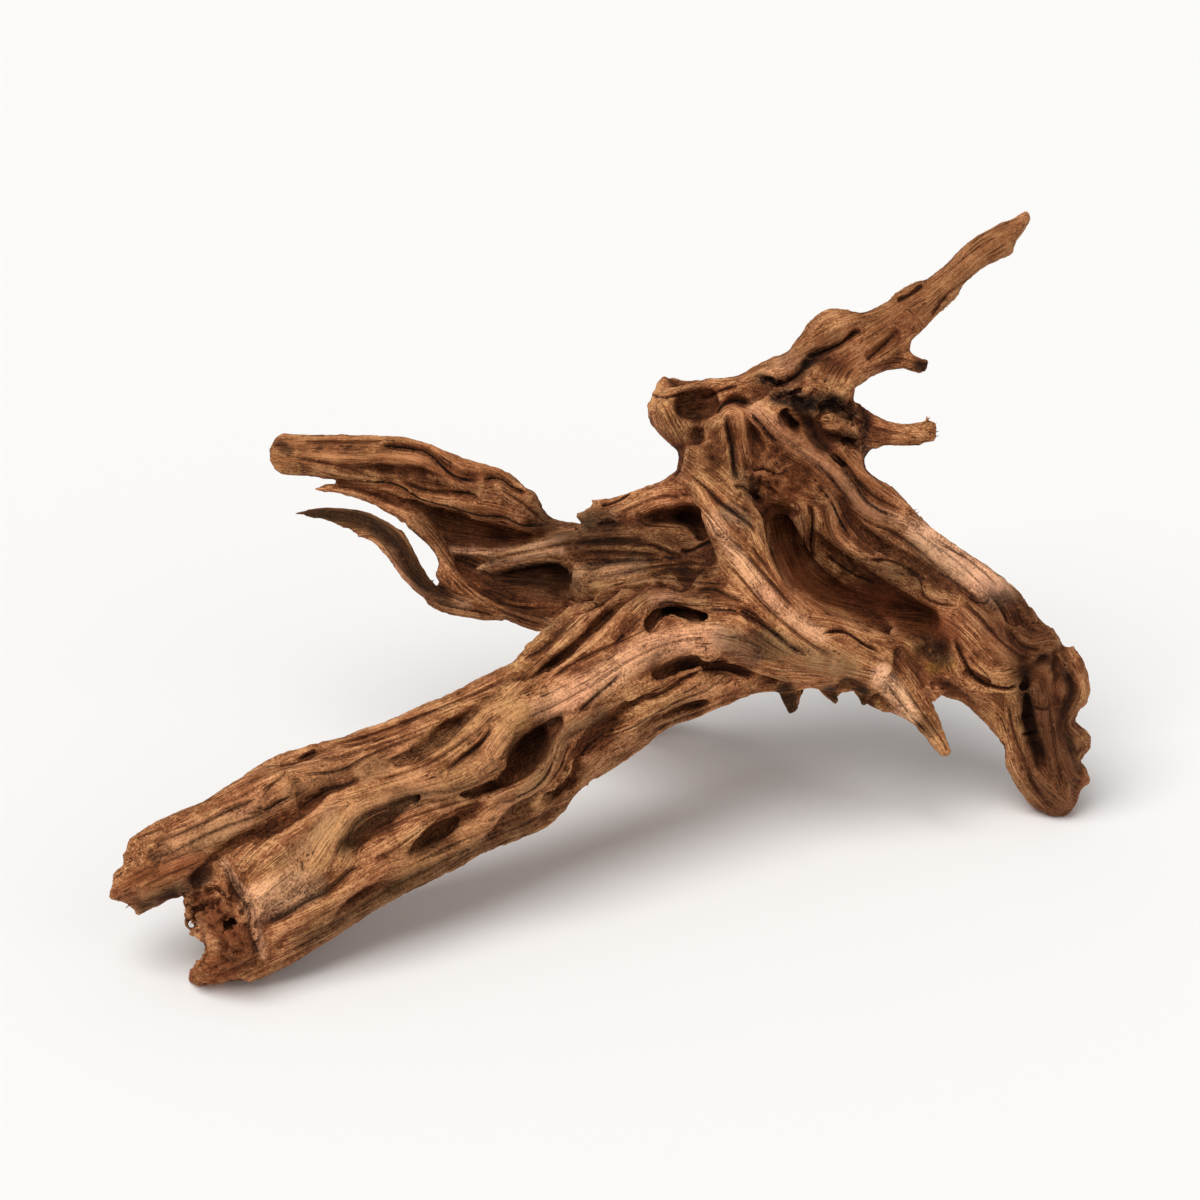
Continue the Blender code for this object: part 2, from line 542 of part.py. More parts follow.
def grown_wood(shape):
    limb_paths = {name: drawn_through(path, stretch_pieces(path)) for name, path in LIMBS.items()}
    for path in LIMBS.values():
        tube_of(shape, path, HEART_SHARE)
    for path in BRANCHLETS.values():
        tube_of(shape, path)
    for path in RIBS.values():
        front_strand(shape, path, list(limb_paths.values()), RIB_DEPTH_SHARE, RIB_SUNK_SHARE)
    for limb, count, span_deg, half_width in BACK_RIBS:
        back_ribs(shape, limb_paths[limb], count, span_deg, half_width)


def worn_away(shape):
    limb_paths = [drawn_through(path, stretch_pieces(path)) for path in LIMBS.values()]
    for path in HOLLOWS.values():
        tube_of(shape, path)
    for path in GROOVES.values():
        front_strand(shape, path, limb_paths, GROOVE_DEPTH_SHARE, GROOVE_SUNK_SHARE)


def outline_prism(shape):
    near = [shape.verts.new(place(x, y, OUTLINE_NEAR_MM)) for x, y in OUTLINE]
    far = [shape.verts.new(place(x, y, OUTLINE_FAR_MM)) for x, y in OUTLINE]
    for i in range(len(OUTLINE)):
        shape.faces.new((near[i - 1], near[i], far[i], far[i - 1]))
    shape.faces.new(near[::-1])
    shape.faces.new(far)
    bmesh.ops.recalc_face_normals(shape, faces=shape.faces)


def fuse(wood, voxel):
    remesh = wood.modifiers.new("Grown together", "REMESH")
    remesh.mode = "VOXEL"
    remesh.voxel_size = voxel
    apply_modifiers(wood)


def carve(wood, cutter, operation):
    cut = wood.modifiers.new("Carve", "BOOLEAN")
    cut.operation = operation
    cut.object = cutter
    apply_modifiers(wood)


def weather(wood):
    """Rounds the fresh edges of the cuts."""
    smooth = wood.modifiers.new("Weathering", "SMOOTH")
    smooth.factor = 0.5
    smooth.iterations = WEATHERING_PASSES
    apply_modifiers(wood)


def thin_mesh(wood):
    faces = sum(len(p.vertices) - 2 for p in wood.data.polygons)
    thin = wood.modifiers.new("Fewer faces", "DECIMATE")
    thin.ratio = min(1.0, FINISHED_TRIANGLES / faces)
    thin.use_collapse_triangulate = True
    apply_modifiers(wood)


def apply_modifiers(thing):
    with bpy.context.temp_override(object=thing, active_object=thing, selected_objects=[thing]):
        for modifier in list(thing.modifiers):
            bpy.ops.object.modifier_apply(modifier=modifier.name)


def keep_largest_body(wood):
    """Drops the crumbs that the hollows leave loose."""
    shape = bmesh.new()
    shape.from_mesh(wood.data)
    shape.verts.ensure_lookup_table()
    left = set(shape.verts)
    bodies = []
    while left:
        reached, edge = set(), [left.pop()]
        while edge:
            vert = edge.pop()
            reached.add(vert)
            for joined in vert.link_edges:
                other = joined.other_vert(vert)
                if other in left:
                    left.discard(other)
                    edge.append(other)
        bodies.append(reached)
    largest = max(bodies, key=len)
    bmesh.ops.delete(shape, geom=[v for v in shape.verts if v not in largest], context="VERTS")
    shape.to_mesh(wood.data)
    shape.free()


def worn_feet(wood):
    """Wears the feet flat where they stand on the floor, at Z = 0."""
    shape = bmesh.new()
    shape.from_mesh(wood.data)
    cut = bmesh.ops.bisect_plane(
        shape,
        geom=[*shape.verts, *shape.edges, *shape.faces],
        plane_co=(0, 0, 0),
        plane_no=(0, 0, 1),
        clear_inner=True,
    )
    rim = [g for g in cut["geom_cut"] if isinstance(g, bmesh.types.BMEdge)]
    bmesh.ops.holes_fill(shape, edges=rim)
    bmesh.ops.triangulate(shape, faces=shape.faces)
    shape.to_mesh(wood.data)
    shape.free()


def wood_material():
    material = bpy.data.materials.new("Weathered wood")
    material.use_nodes = True
    shader = material.node_tree.nodes["Principled BSDF"]
    shader.inputs["Base Color"].default_value = WOOD_COLOUR
    shader.inputs["Roughness"].default_value = WOOD_ROUGHNESS
    shader.inputs["Metallic"].default_value = 0.0
    return material


def cutter_of(name, build):
    cutter = mesh_of(name, build)
    cutter.hide_render = True
    cutter.display_type = "WIRE"
    return cutter


def main():
    clear_scene()
    wood = mesh_of("driftwood", grown_wood)
    hollows = cutter_of("hollow_cutter", worn_away)
    outline = cutter_of("outline_cutter", outline_prism)
    fuse(hollows, VOXEL)
    fuse(wood, VOXEL)
    carve(wood, hollows, "DIFFERENCE")
    carve(wood, outline, "INTERSECT")
    keep_largest_body(wood)
    fuse(wood, VOXEL)
    weather(wood)
    keep_largest_body(wood)
    thin_mesh(wood)
    worn_feet(wood)
    wood.data.materials.append(wood_material())
    wood.data.shade_smooth()


main()
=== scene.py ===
"""Looks for a piece of driftwood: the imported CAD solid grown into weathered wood, on a pale floor.

The wood is the CAD node's own mesh, made finer. Hollows, grooves, ridges and overhanging edges are pressed
into the side that the reference view shows, along lines read from that view in pixels of its 1200 x 1200
frame, with depths and widths in millimetres. Grain lines run along every limb, all the way round, and the
fibres of the mesh and of the material follow them.
"""
import math

import bmesh
import bpy
import numpy as np
from bpy.props import FloatProperty, PointerProperty, StringProperty
from bpy.types import Operator, Panel, PropertyGroup
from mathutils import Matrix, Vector, noise
from mathutils.bvhtree import BVHTree
from mathutils.kdtree import KDTree


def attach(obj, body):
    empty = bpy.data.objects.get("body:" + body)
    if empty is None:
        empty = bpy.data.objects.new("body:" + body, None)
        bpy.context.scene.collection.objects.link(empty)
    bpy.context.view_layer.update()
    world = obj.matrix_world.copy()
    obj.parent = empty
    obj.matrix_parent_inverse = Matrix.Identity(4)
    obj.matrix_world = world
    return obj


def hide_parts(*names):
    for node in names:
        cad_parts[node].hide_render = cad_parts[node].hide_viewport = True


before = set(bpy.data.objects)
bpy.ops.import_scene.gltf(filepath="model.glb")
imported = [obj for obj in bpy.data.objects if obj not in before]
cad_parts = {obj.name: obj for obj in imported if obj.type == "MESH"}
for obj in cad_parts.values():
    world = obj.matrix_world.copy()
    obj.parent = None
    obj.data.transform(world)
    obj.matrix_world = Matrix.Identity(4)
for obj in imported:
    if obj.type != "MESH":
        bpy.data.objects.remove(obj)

bl_info = {
    "name": "Driftwood",
    "version": (1, 0, 0),
    "blender": (4, 5, 0),
    "location": "View3D > Sidebar > Driftwood",
    "description": "Builds a weathered piece of driftwood on a pale floor",
    "category": "Object",
}

NODE = "driftwood"
MM = 0.001

# The reference view: its pixel pitch on the piece, its distance, how far it looks down, and its middle
VIEW_MIDDLE_PX = 600.0
MM_PER_PIXEL = 0.5
VIEW_DISTANCE_MM = 1800.0
VIEW_DOWN_DEG = 25.0
VIEW_MIDDLE_M = np.array((-0.0106, 0.0578, 0.111))
RIGHT = np.array((1.0, 0.0, 0.0))
AWAY = np.array((0.0, math.cos(math.radians(VIEW_DOWN_DEG)), -math.sin(math.radians(VIEW_DOWN_DEG))))
UP = np.cross(RIGHT, AWAY)
EYE = VIEW_MIDDLE_M - AWAY * VIEW_DISTANCE_MM * MM

# Hollows: depth in millimetres, how wide the wall is, and the edge in pixels
HOLLOWS = {
    "log_slot": (8, 2.5, [
        (198, 879), (206, 870), (220, 861), (234, 852), (248, 844), (262, 834), (276, 825), (292, 815),
        (304, 808), (312, 804), (304, 815), (286, 828), (264, 841), (244, 853), (226, 863), (212, 873),
    ]),
    "log_trough": (3, 5, [
        (350, 787), (362, 775), (372, 765), (385, 757), (400, 751), (415, 744), (430, 738), (445, 729),
        (453, 727), (450, 737), (440, 746), (420, 757), (402, 766), (385, 772), (370, 779), (358, 786),
    ]),
    "log_upper_hole": (10, 3, [
        (449, 726), (457, 721), (467, 717), (474, 711), (484, 705), (479, 713), (473, 720), (469, 726),
        (460, 731), (450, 734),
    ]),
    "flank_valley": (4.5, 5, [
        (352, 842), (365, 826), (380, 815), (400, 806), (420, 798), (440, 795), (465, 790), (485, 782),
        (502, 774), (514, 781), (497, 787), (480, 796), (455, 803), (430, 810), (400, 822), (375, 838),
        (355, 858), (347, 868),
    ]),
    "eye_large": (12, 4, [
        (497, 773), (504, 762), (507, 753), (513, 744), (523, 735), (531, 730), (540, 725), (550, 719),
        (562, 712), (578, 709), (589, 703), (578, 713), (565, 719), (555, 728), (548, 733), (551, 742),
        (546, 752), (537, 765), (528, 773), (514, 779), (503, 781),
    ]),
    "eye_lower": (5, 3, [
        (409, 849), (414, 842), (423, 832), (433, 823), (447, 817), (460, 812), (472, 809), (484, 806),
        (482, 811), (467, 815), (460, 822), (453, 833), (443, 843), (433, 850), (420, 853),
    ]),
    "eye_heel": (8, 5, [
        (508, 818), (524, 809), (538, 798), (548, 784), (557, 773), (563, 763), (570, 757), (578, 752),
        (586, 750), (579, 762), (573, 773), (568, 783), (562, 795), (553, 803), (543, 808), (532, 810),
        (522, 811),
    ]),
    "upper_recess_left": (8, 4, [
        (521, 686), (531, 676), (541, 667), (549, 659), (560, 657), (562, 664), (553, 673), (545, 680),
        (533, 683),
    ]),
    "upper_recess_long": (8, 4, [
        (563, 663), (572, 652), (582, 640), (592, 628), (600, 620), (609, 611), (623, 604), (632, 598),
        (622, 612), (617, 619), (614, 626), (605, 636), (592, 649), (580, 656),
    ]),
    "under_fan_gap": (11, 2.5, [
        (580, 601), (602, 597), (623, 590), (645, 586), (659, 584), (673, 585), (684, 589), (697, 592),
        (693, 597), (677, 593), (659, 591), (639, 594), (619, 599), (602, 606), (585, 610),
    ]),
    "arched_recess": (11, 3, [
        (661, 607), (666, 604), (678, 608), (692, 613), (707, 613), (719, 619), (707, 620), (696, 622),
        (685, 626), (672, 632), (658, 636), (650, 640), (655, 630), (659, 620),
    ]),
    "under_main": (9, 6, [
        (610, 714), (619, 702), (631, 696), (648, 688), (660, 682), (670, 676), (679, 665), (691, 660),
        (705, 658), (722, 659), (738, 663), (752, 669), (764, 677), (748, 684), (722, 682), (700, 684),
        (672, 694), (648, 703), (628, 712),
    ]),
    "small_slot": (4, 2, [
        (694, 690), (699, 684), (710, 682), (722, 684), (712, 687), (702, 688), (697, 693),
    ]),
    "low_fold": (8, 4, [
        (631, 735), (643, 722), (656, 714), (676, 706), (695, 699), (714, 699), (705, 706), (681, 714),
        (664, 721), (650, 727), (640, 734),
    ]),
    "ragged_gap_upper": (9, 2, [
        (190, 914), (197, 906), (206, 904), (213, 907), (207, 911), (198, 913), (195, 921), (189, 926),
        (184, 920),
    ]),
    "ragged_gap_lower": (10, 3, [
        (222, 933), (224, 924), (230, 919), (238, 914), (240, 921), (234, 930), (227, 936), (213, 938),
        (204, 938), (208, 933),
    ]),
    "fan_cavity": (13, 12, [
        (645, 518), (652, 512), (661, 512), (673, 508), (684, 504), (694, 505), (703, 513), (709, 521),
        (715, 531), (717, 536), (708, 543), (699, 547), (687, 551), (677, 546), (664, 540), (652, 535),
        (644, 529),
    ]),
    "fan_cavity_deep": (8, 6, [
        (668, 516), (678, 508), (690, 507), (700, 514), (702, 525), (690, 530), (674, 526),
    ]),
    "bowl": (4, 11, [
        (761, 516), (758, 527), (761, 541), (771, 561), (783, 580), (795, 599), (809, 611), (826, 614),
        (847, 618), (868, 625), (889, 629), (904, 632), (923, 631), (939, 628), (953, 640), (960, 655),
        (968, 652), (960, 629), (939, 612), (920, 597), (896, 587), (871, 582), (851, 577), (833, 572),
        (820, 565), (811, 551), (811, 527), (809, 511), (797, 501), (781, 502), (766, 508),
    ]),
    "pot_upper": (1.5, 12, [
        (676, 408), (680, 398), (686, 391), (698, 384), (712, 382), (726, 381), (740, 384), (748, 390),
        (742, 398), (728, 402), (718, 410), (713, 422), (704, 428), (690, 428), (680, 420),
    ]),
    "pot_lower": (1, 5, [
        (685, 449), (685, 440), (690, 433), (697, 430), (706, 430), (712, 434), (709, 441), (703, 447),
        (694, 451),
    ]),
    "hub_concave": (7, 6, [
        (744, 408), (750, 408), (753, 418), (760, 430), (768, 444), (770, 456), (760, 462), (750, 452),
        (744, 436), (742, 420),
    ]),
    "hub_pit": (12, 4, [
        (778, 409), (786, 409), (793, 416), (799, 423), (804, 430), (801, 437), (793, 437), (788, 430),
        (784, 421), (779, 415),
    ]),
    "char_pit": (5, 3, [(783, 399), (793, 394), (805, 397), (808, 404), (798, 408), (788, 406)]),
    "char_flat": (4, 4, [
        (817, 402), (830, 399), (841, 406), (850, 416), (855, 428), (846, 424), (838, 417), (826, 417),
        (818, 412),
    ]),
    "char_under": (7, 2.5, [
        (817, 427), (821, 434), (832, 435), (841, 439), (852, 437), (861, 447), (858, 452), (846, 446),
        (834, 443), (820, 440),
    ]),
    "hidden_furrow": (9, 3, [
        (838, 519), (846, 524), (854, 534), (868, 545), (880, 554), (896, 558), (890, 563), (872, 557),
        (856, 547), (844, 535),
    ]),
    "scoop": (8, 7, [
        (413, 503), (424, 502), (440, 506), (460, 511), (478, 516), (494, 518), (505, 518), (514, 523),
        (528, 528), (543, 527), (560, 526), (559, 534), (541, 541), (528, 545), (518, 549), (494, 549),
        (470, 548), (451, 548), (444, 540), (435, 529), (427, 524), (417, 513),
    ]),
    "scoop_low": (9, 4, [
        (488, 577), (508, 571), (535, 565), (559, 562), (566, 566), (572, 571), (574, 582), (570, 594),
        (555, 598), (541, 594), (521, 590), (505, 584), (493, 578),
    ]),
    "limb_slot": (7, 2.5, [
        (400, 464), (410, 465), (424, 468), (436, 473), (443, 478), (432, 479), (422, 477), (411, 471),
    ]),
    "limb_crescent": (3, 3, [
        (356, 467), (368, 463), (381, 463), (392, 465), (399, 472), (394, 475), (381, 476), (366, 472),
    ]),
    "leg_groove": (1.5, 3, [
        (1021, 684), (1031, 682), (1034, 695), (1031, 708), (1035, 722), (1041, 738), (1048, 754),
        (1041, 763), (1033, 750), (1027, 735), (1023, 718), (1021, 700),
    ]),
    "leg_pit": (6, 3, [(1033, 668), (1034, 660), (1042, 655), (1050, 655), (1049, 664), (1041, 668)]),
    "leg_side": (7, 3, [(1051, 649), (1060, 649), (1063, 665), (1060, 681), (1055, 687), (1051, 670)]),
    "lobe_crease": (6, 3, [
        (1062, 668), (1073, 677), (1078, 690), (1073, 703), (1064, 720), (1065, 734), (1059, 735),
        (1058, 719), (1065, 703), (1070, 691), (1066, 681),
    ]),
    "char_knot": (4, 3, [
        (920, 636), (934, 631), (949, 638), (952, 650), (944, 660), (930, 664), (923, 652),
    ]),
    "branch_pit": (3.5, 2, [(900, 327), (902, 322), (908, 321), (909, 326), (904, 330)]),
    "limb_end_pit": (2.5, 2, [(279, 445), (284, 441), (291, 443), (288, 447)]),
    "limb_end_dip": (2, 3, [(278, 450), (290, 448), (291, 456), (284, 459), (278, 456)]),
    "limb_knot_pit": (3.5, 2, [(485, 487), (489, 483), (495, 485), (494, 492), (488, 493)]),
    "grey_pit": (2.5, 1.5, [(726, 640), (730, 637), (736, 640), (732, 643)]),
}

# Edges that overhang what lies on their right: depth, reach in millimetres, and the line
LEDGES = {
    "log_upper_edge": (3, 4, [(360, 777), (351, 784), (340, 788), (325, 792), (308, 803)]),
    "s_ridge_lower": (1.8, 5, [
        (502, 771), (485, 780), (470, 787), (450, 793), (433, 795), (415, 798), (400, 803), (385, 808),
        (370, 815), (360, 822), (352, 832), (346, 845), (340, 862),
    ]),
    "plank_end": (2.6, 5, [
        (219, 860), (228, 872), (232, 884), (239, 895), (247, 904), (251, 916), (250, 930), (256, 946),
        (264, 966),
    ]),
    "log_split": (3, 3, [
        (365, 862), (360, 866), (349, 873), (339, 883), (325, 894), (308, 902), (290, 913), (273, 922),
        (256, 927),
    ]),
    "ridge_b_lower": (3.5, 3, [(790, 645), (769, 631), (754, 619), (740, 612), (717, 611), (700, 610)]),
    "fan_line_upper": (3, 2.5, [(653, 537), (639, 541), (619, 542), (592, 543), (570, 546)]),
    "fan_plate_lower": (3, 2.5, [(683, 557), (673, 559), (652, 561), (635, 561), (615, 563), (592, 566)]),
    "fan_plate_third": (2.5, 2.5, [(714, 574), (690, 574), (681, 571), (667, 571), (658, 575)]),
    "under_fan_line": (2.5, 2.5, [(745, 603), (733, 599), (722, 594), (712, 590), (697, 591)]),
    "cavity_lip": (2.5, 3, [(727, 538), (717, 536), (709, 521), (702, 512)]),
    "bright_strand": (1.6, 3, [(795, 612), (783, 600), (763, 575), (749, 560), (735, 549), (718, 542)]),
    "limb_underside": (4, 4, [
        (559, 525), (543, 526), (528, 527), (514, 523), (505, 518), (494, 517), (478, 516), (461, 511),
        (440, 505), (422, 500), (412, 495), (400, 487), (388, 483), (375, 483), (348, 482),
    ]),
    "w3_right": (3.5, 3.5, [(823, 449), (844, 468), (858, 487), (868, 501), (884, 511), (903, 518)]),
    "w1_right": (4, 3, [(817, 485), (826, 494), (833, 504), (842, 522), (851, 536)]),
    "blade_fold": (2, 3, [
        (440, 595), (426, 590), (408, 577), (395, 562), (385, 548), (374, 537), (362, 536),
    ]),
    "plate_step": (1.8, 4, [(987, 597), (978, 600), (961, 588), (936, 571), (915, 553), (906, 540)]),
}

# Grooves: depth, half width in millimetres, and the line
GROOVES = {
    "plank_line_1": (1.5, 0.9, [(160, 842), (180, 834), (204, 823), (228, 811), (247, 803), (252, 799)]),
    "plank_line_2": (1.3, 0.8, [(243, 815), (264, 810), (278, 802), (291, 796)]),
    "plank_line_3": (1.5, 0.9, [(262, 791), (274, 783), (282, 777), (286, 770)]),
    "plank_line_4": (2.0, 1.2, [(299, 760), (308, 756), (316, 751)]),
    "plank_line_6": (1.8, 1.1, [(136, 839), (148, 834), (163, 829)]),
    "plank_line_8": (1.2, 0.9, [(150, 862), (176, 850), (200, 838), (225, 827), (250, 818), (280, 808)]),
    "plank_line_9": (1.0, 0.9, [(140, 888), (165, 876), (190, 866), (206, 858)]),
    "plank_line_10": (1.2, 1.2, [
        (222, 795), (262, 776), (300, 765), (340, 757), (380, 745), (415, 732), (440, 722),
    ]),
    "plank_line_11": (1.0, 1.0, [(300, 775), (340, 770), (365, 757), (400, 742), (440, 727)]),
    "top_line_1": (1.4, 1.0, [
        (325, 745), (350, 741), (385, 730), (420, 716), (455, 702), (490, 687), (510, 676),
    ]),
    "mid_line_1": (2.2, 1.4, [(446, 771), (453, 766), (461, 759), (470, 752), (482, 742), (493, 725)]),
    "mid_line_3": (1.0, 1.0, [(370, 782), (400, 774), (430, 762), (460, 744), (480, 728), (505, 708)]),
    "s_crest_line_2": (0.9, 0.9, [
        (520, 722), (560, 703), (600, 680), (640, 655), (680, 640), (715, 640),
    ]),
    "heart_line": (1.8, 0.8, [(578, 712), (590, 701), (600, 692), (611, 683), (622, 672)]),
    "fork_stripe_1": (1.6, 1.0, [(508, 800), (526, 793), (538, 785), (548, 773), (553, 760), (558, 745)]),
    "fork_stripe_2": (1.8, 1.1, [(542, 790), (553, 778), (561, 766), (566, 752), (572, 740)]),
    "fork_stripe_3": (1.0, 0.9, [(560, 745), (575, 733), (600, 722), (620, 715)]),
    "flank_line_1": (1.0, 1.0, [(352, 848), (380, 832), (410, 818), (440, 808), (475, 798)]),
    "flank_line_2": (1.2, 1.0, [(360, 866), (390, 852), (410, 838), (430, 822), (450, 812), (485, 800)]),
    "low_line_1": (1.0, 1.0, [
        (300, 925), (340, 906), (380, 880), (410, 866), (440, 852), (470, 838), (505, 822),
    ]),
    "low_line_2": (0.9, 1.0, [
        (280, 950), (330, 925), (380, 895), (430, 868), (480, 842), (530, 822), (560, 800),
    ]),
    "notch": (1.6, 0.9, [(301, 859), (302, 866), (304, 874)]),
    "recess_slot": (2.4, 1.2, [(615, 645), (619, 640), (625, 635)]),
    "ridge_valley_1": (1.6, 1.2, [(525, 660), (545, 648), (565, 632), (585, 615), (603, 604)]),
    "ridge_valley_2": (1.4, 1.0, [
        (545, 683), (570, 666), (600, 650), (625, 640), (645, 630), (655, 618),
    ]),
    "ridge_b_line": (1.1, 0.8, [(652, 604), (672, 603), (695, 606), (722, 604), (745, 610), (770, 627)]),
    "arch_strand_1": (1.6, 1.0, [(640, 700), (665, 692), (690, 675), (715, 668), (745, 675)]),
    "hem_line": (1.2, 0.9, [(650, 735), (672, 722), (700, 712), (725, 702), (755, 694)]),
    "ragged_line_4": (1.8, 0.9, [(204, 893), (214, 889), (223, 894), (228, 903)]),
    "spike_fold": (2.5, 1.4, [(601, 507), (612, 504), (622, 499), (632, 494)]),
    "blunt_line": (1.6, 1.0, [(598, 524), (606, 523), (616, 522)]),
    "fan_top_line_1": (1.0, 1.0, [(620, 513), (645, 502), (665, 496), (682, 498)]),
    "plate_line_1": (1.0, 0.8, [(627, 547), (650, 545), (662, 550), (675, 555)]),
    "plate_line_2": (1.0, 0.8, [(580, 553), (605, 553), (635, 554), (660, 556)]),
    "prong_line_1": (1.0, 0.8, [(590, 579), (620, 574), (650, 568), (690, 564), (715, 566)]),
    "prong_line_2": (1.2, 0.8, [(600, 589), (630, 581), (660, 577), (690, 582), (715, 585)]),
    "cavity_black_line": (2.5, 1.1, [(679, 551), (691, 551), (701, 546), (711, 542), (719, 540)]),
    "body_crack_1": (2.0, 0.9, [
        (686, 471), (698, 481), (709, 491), (718, 501), (729, 509), (740, 517), (751, 526), (757, 537),
    ]),
    "body_crack_2": (1.2, 0.8, [(700, 505), (712, 518), (722, 530), (735, 543), (750, 556)]),
    "body_line_1": (1.0, 0.8, [(745, 551), (758, 568), (775, 587), (797, 610)]),
    "body_line_2": (1.0, 0.8, [(752, 548), (768, 570), (785, 593), (806, 613)]),
    "body_line_3": (1.0, 0.9, [(720, 556), (740, 577), (757, 598), (778, 618), (805, 640), (835, 658)]),
    "body_line_4": (2.0, 1.1, [(738, 612), (757, 622), (775, 634), (792, 648), (806, 654)]),
    "lip_groove": (2.0, 1.2, [(822, 633), (840, 631), (852, 636), (865, 645), (879, 652)]),
    "hub_seam": (2.6, 1.1, [(725, 420), (728, 431), (731, 443), (733, 455), (734, 466), (736, 475)]),
    "rim_crack": (2.2, 1.0, [(652, 395), (663, 398), (678, 395), (686, 392)]),
    "pot_crack": (2.0, 1.0, [(700, 397), (708, 397), (720, 391), (738, 386)]),
    "plank_crack": (2.6, 1.0, [(751, 414), (761, 424), (769, 434), (777, 442)]),
    "curl_groove": (3.5, 2.2, [(716, 414), (723, 405), (735, 401), (748, 404)]),
    "char_crack_1": (3.0, 1.4, [
        (760, 378), (772, 380), (777, 385), (788, 381), (798, 374), (805, 366), (811, 358),
    ]),
    "char_crack_2": (2.2, 1.0, [(775, 397), (786, 395), (795, 392), (805, 391)]),
    "char_crack_3": (2.2, 1.2, [(818, 403), (831, 400), (840, 406), (851, 418), (853, 428)]),
    "branch_crack": (3.2, 1.3, [
        (806, 358), (815, 355), (829, 349), (841, 343), (849, 337), (856, 332), (862, 334),
    ]),
    "knot_line_1": (1.8, 0.9, [(750, 471), (757, 470), (765, 469), (777, 474), (790, 470)]),
    "knot_line_2": (1.8, 0.9, [(736, 503), (738, 498), (742, 494)]),
    "knot_line_3": (2.4, 1.6, [(735, 488), (742, 486), (750, 492), (760, 499)]),
    "knot_line_4": (1.6, 0.9, [(729, 499), (738, 505), (749, 512)]),
    "hub_strand_1": (1.0, 0.9, [(790, 445), (808, 458), (826, 474), (842, 492), (855, 508)]),
    "hub_strand_2": (1.2, 0.9, [(832, 452), (848, 468), (862, 486), (880, 500), (905, 511)]),
    "wave_crease": (2.6, 1.5, [(809, 504), (812, 516), (812, 532), (811, 548), (818, 560)]),
    "mass_crack_1": (2.0, 1.0, [(826, 554), (844, 568), (861, 577), (876, 583)]),
    "mass_crack_2": (1.8, 1.0, [(858, 560), (878, 560), (896, 562), (915, 573), (930, 584)]),
    "mass_crack_3": (1.6, 1.0, [(905, 566), (920, 580), (924, 596), (940, 604), (955, 606)]),
    "plane_line_1": (1.1, 0.9, [(850, 508), (868, 522), (888, 530), (905, 540), (925, 556), (945, 575)]),
    "pale_line_1": (0.9, 0.7, [(913, 530), (930, 542), (950, 556), (970, 573), (987, 590)]),
    "pale_line_2": (0.9, 0.7, [(925, 532), (945, 546), (965, 557), (985, 573), (1000, 590)]),
    "arm_line_1": (1.2, 1.0, [(960, 600), (980, 618), (1000, 640), (1018, 655), (1032, 660)]),
    "arm_line_2": (1.2, 1.0, [(990, 592), (1003, 612), (1010, 632), (1025, 647), (1045, 650)]),
    "arc_crack": (2.4, 1.1, [
        (953, 636), (960, 652), (966, 664), (974, 675), (987, 684), (1008, 688), (1022, 683),
    ]),
    "knob_crack": (1.4, 0.9, [(968, 656), (976, 664), (987, 675), (992, 683)]),
    "leg_cross_1": (1.8, 0.8, [(1021, 716), (1027, 716), (1034, 714)]),
    "leg_cross_2": (1.6, 0.8, [(1033, 706), (1041, 709), (1050, 708)]),
    "leg_cross_3": (1.8, 0.8, [(1020, 735), (1030, 733), (1041, 731)]),
    "leg_line_1": (1.2, 1.0, [(1008, 700), (1012, 725), (1020, 750), (1032, 780), (1045, 805)]),
    "leg_line_2": (1.2, 1.0, [(1048, 690), (1050, 715), (1053, 740), (1058, 765), (1065, 790)]),
    "spike_line_1": (1.4, 0.8, [(902, 684), (915, 703), (930, 724), (943, 742), (950, 756)]),
    "spike_line_2": (1.4, 0.8, [(885, 680), (897, 698), (912, 717), (928, 733)]),
    "flake_line": (2.0, 1.0, [(896, 301), (904, 298), (913, 293), (924, 284)]),
    "branch_slit": (1.8, 0.9, [(938, 305), (943, 300), (948, 295)]),
    "branch_edge": (1.4, 0.9, [(930, 320), (938, 307), (948, 294), (962, 283), (980, 269)]),
    "branch_valley": (2.4, 2.5, [(866, 360), (877, 351), (889, 339), (899, 329)]),
    "stub_line_1": (1.0, 0.8, [(848, 414), (862, 423), (880, 430), (905, 436)]),
    "limb_groove": (3.0, 2.2, [
        (374, 445), (394, 447), (412, 449), (425, 452), (434, 458), (442, 466), (454, 476), (467, 480),
        (482, 481),
    ]),
    "limb_groove_end": (3.0, 2.0, [(482, 481), (491, 478), (502, 480), (514, 488), (527, 493)]),
    "limb_line_1": (1.8, 1.1, [
        (400, 480), (413, 486), (427, 490), (440, 492), (460, 492), (472, 494), (477, 499),
    ]),
    "limb_line_2": (1.0, 0.9, [(295, 443), (330, 443), (360, 442), (400, 441), (430, 447)]),
    "limb_line_3": (1.0, 0.9, [(290, 458), (320, 462), (350, 469), (372, 477), (400, 480)]),
    "limb_line_5": (1.2, 0.9, [(500, 489), (515, 498), (528, 508), (540, 518)]),
    "leaf_line_1": (1.0, 0.8, [(330, 486), (354, 489), (380, 498), (402, 508)]),
    "rim_line_1": (1.2, 0.9, [
        (420, 525), (438, 545), (452, 566), (470, 585), (494, 600), (521, 608), (555, 609),
    ]),
    "rim_line_2": (1.2, 1.0, [(452, 575), (475, 596), (500, 610), (525, 620), (545, 625)]),
    "low_blade_line": (1.2, 0.8, [(430, 600), (455, 607), (480, 612), (500, 617)]),
    "finger_line": (0.9, 0.7, [(500, 556), (525, 552), (550, 547), (575, 543)]),
}

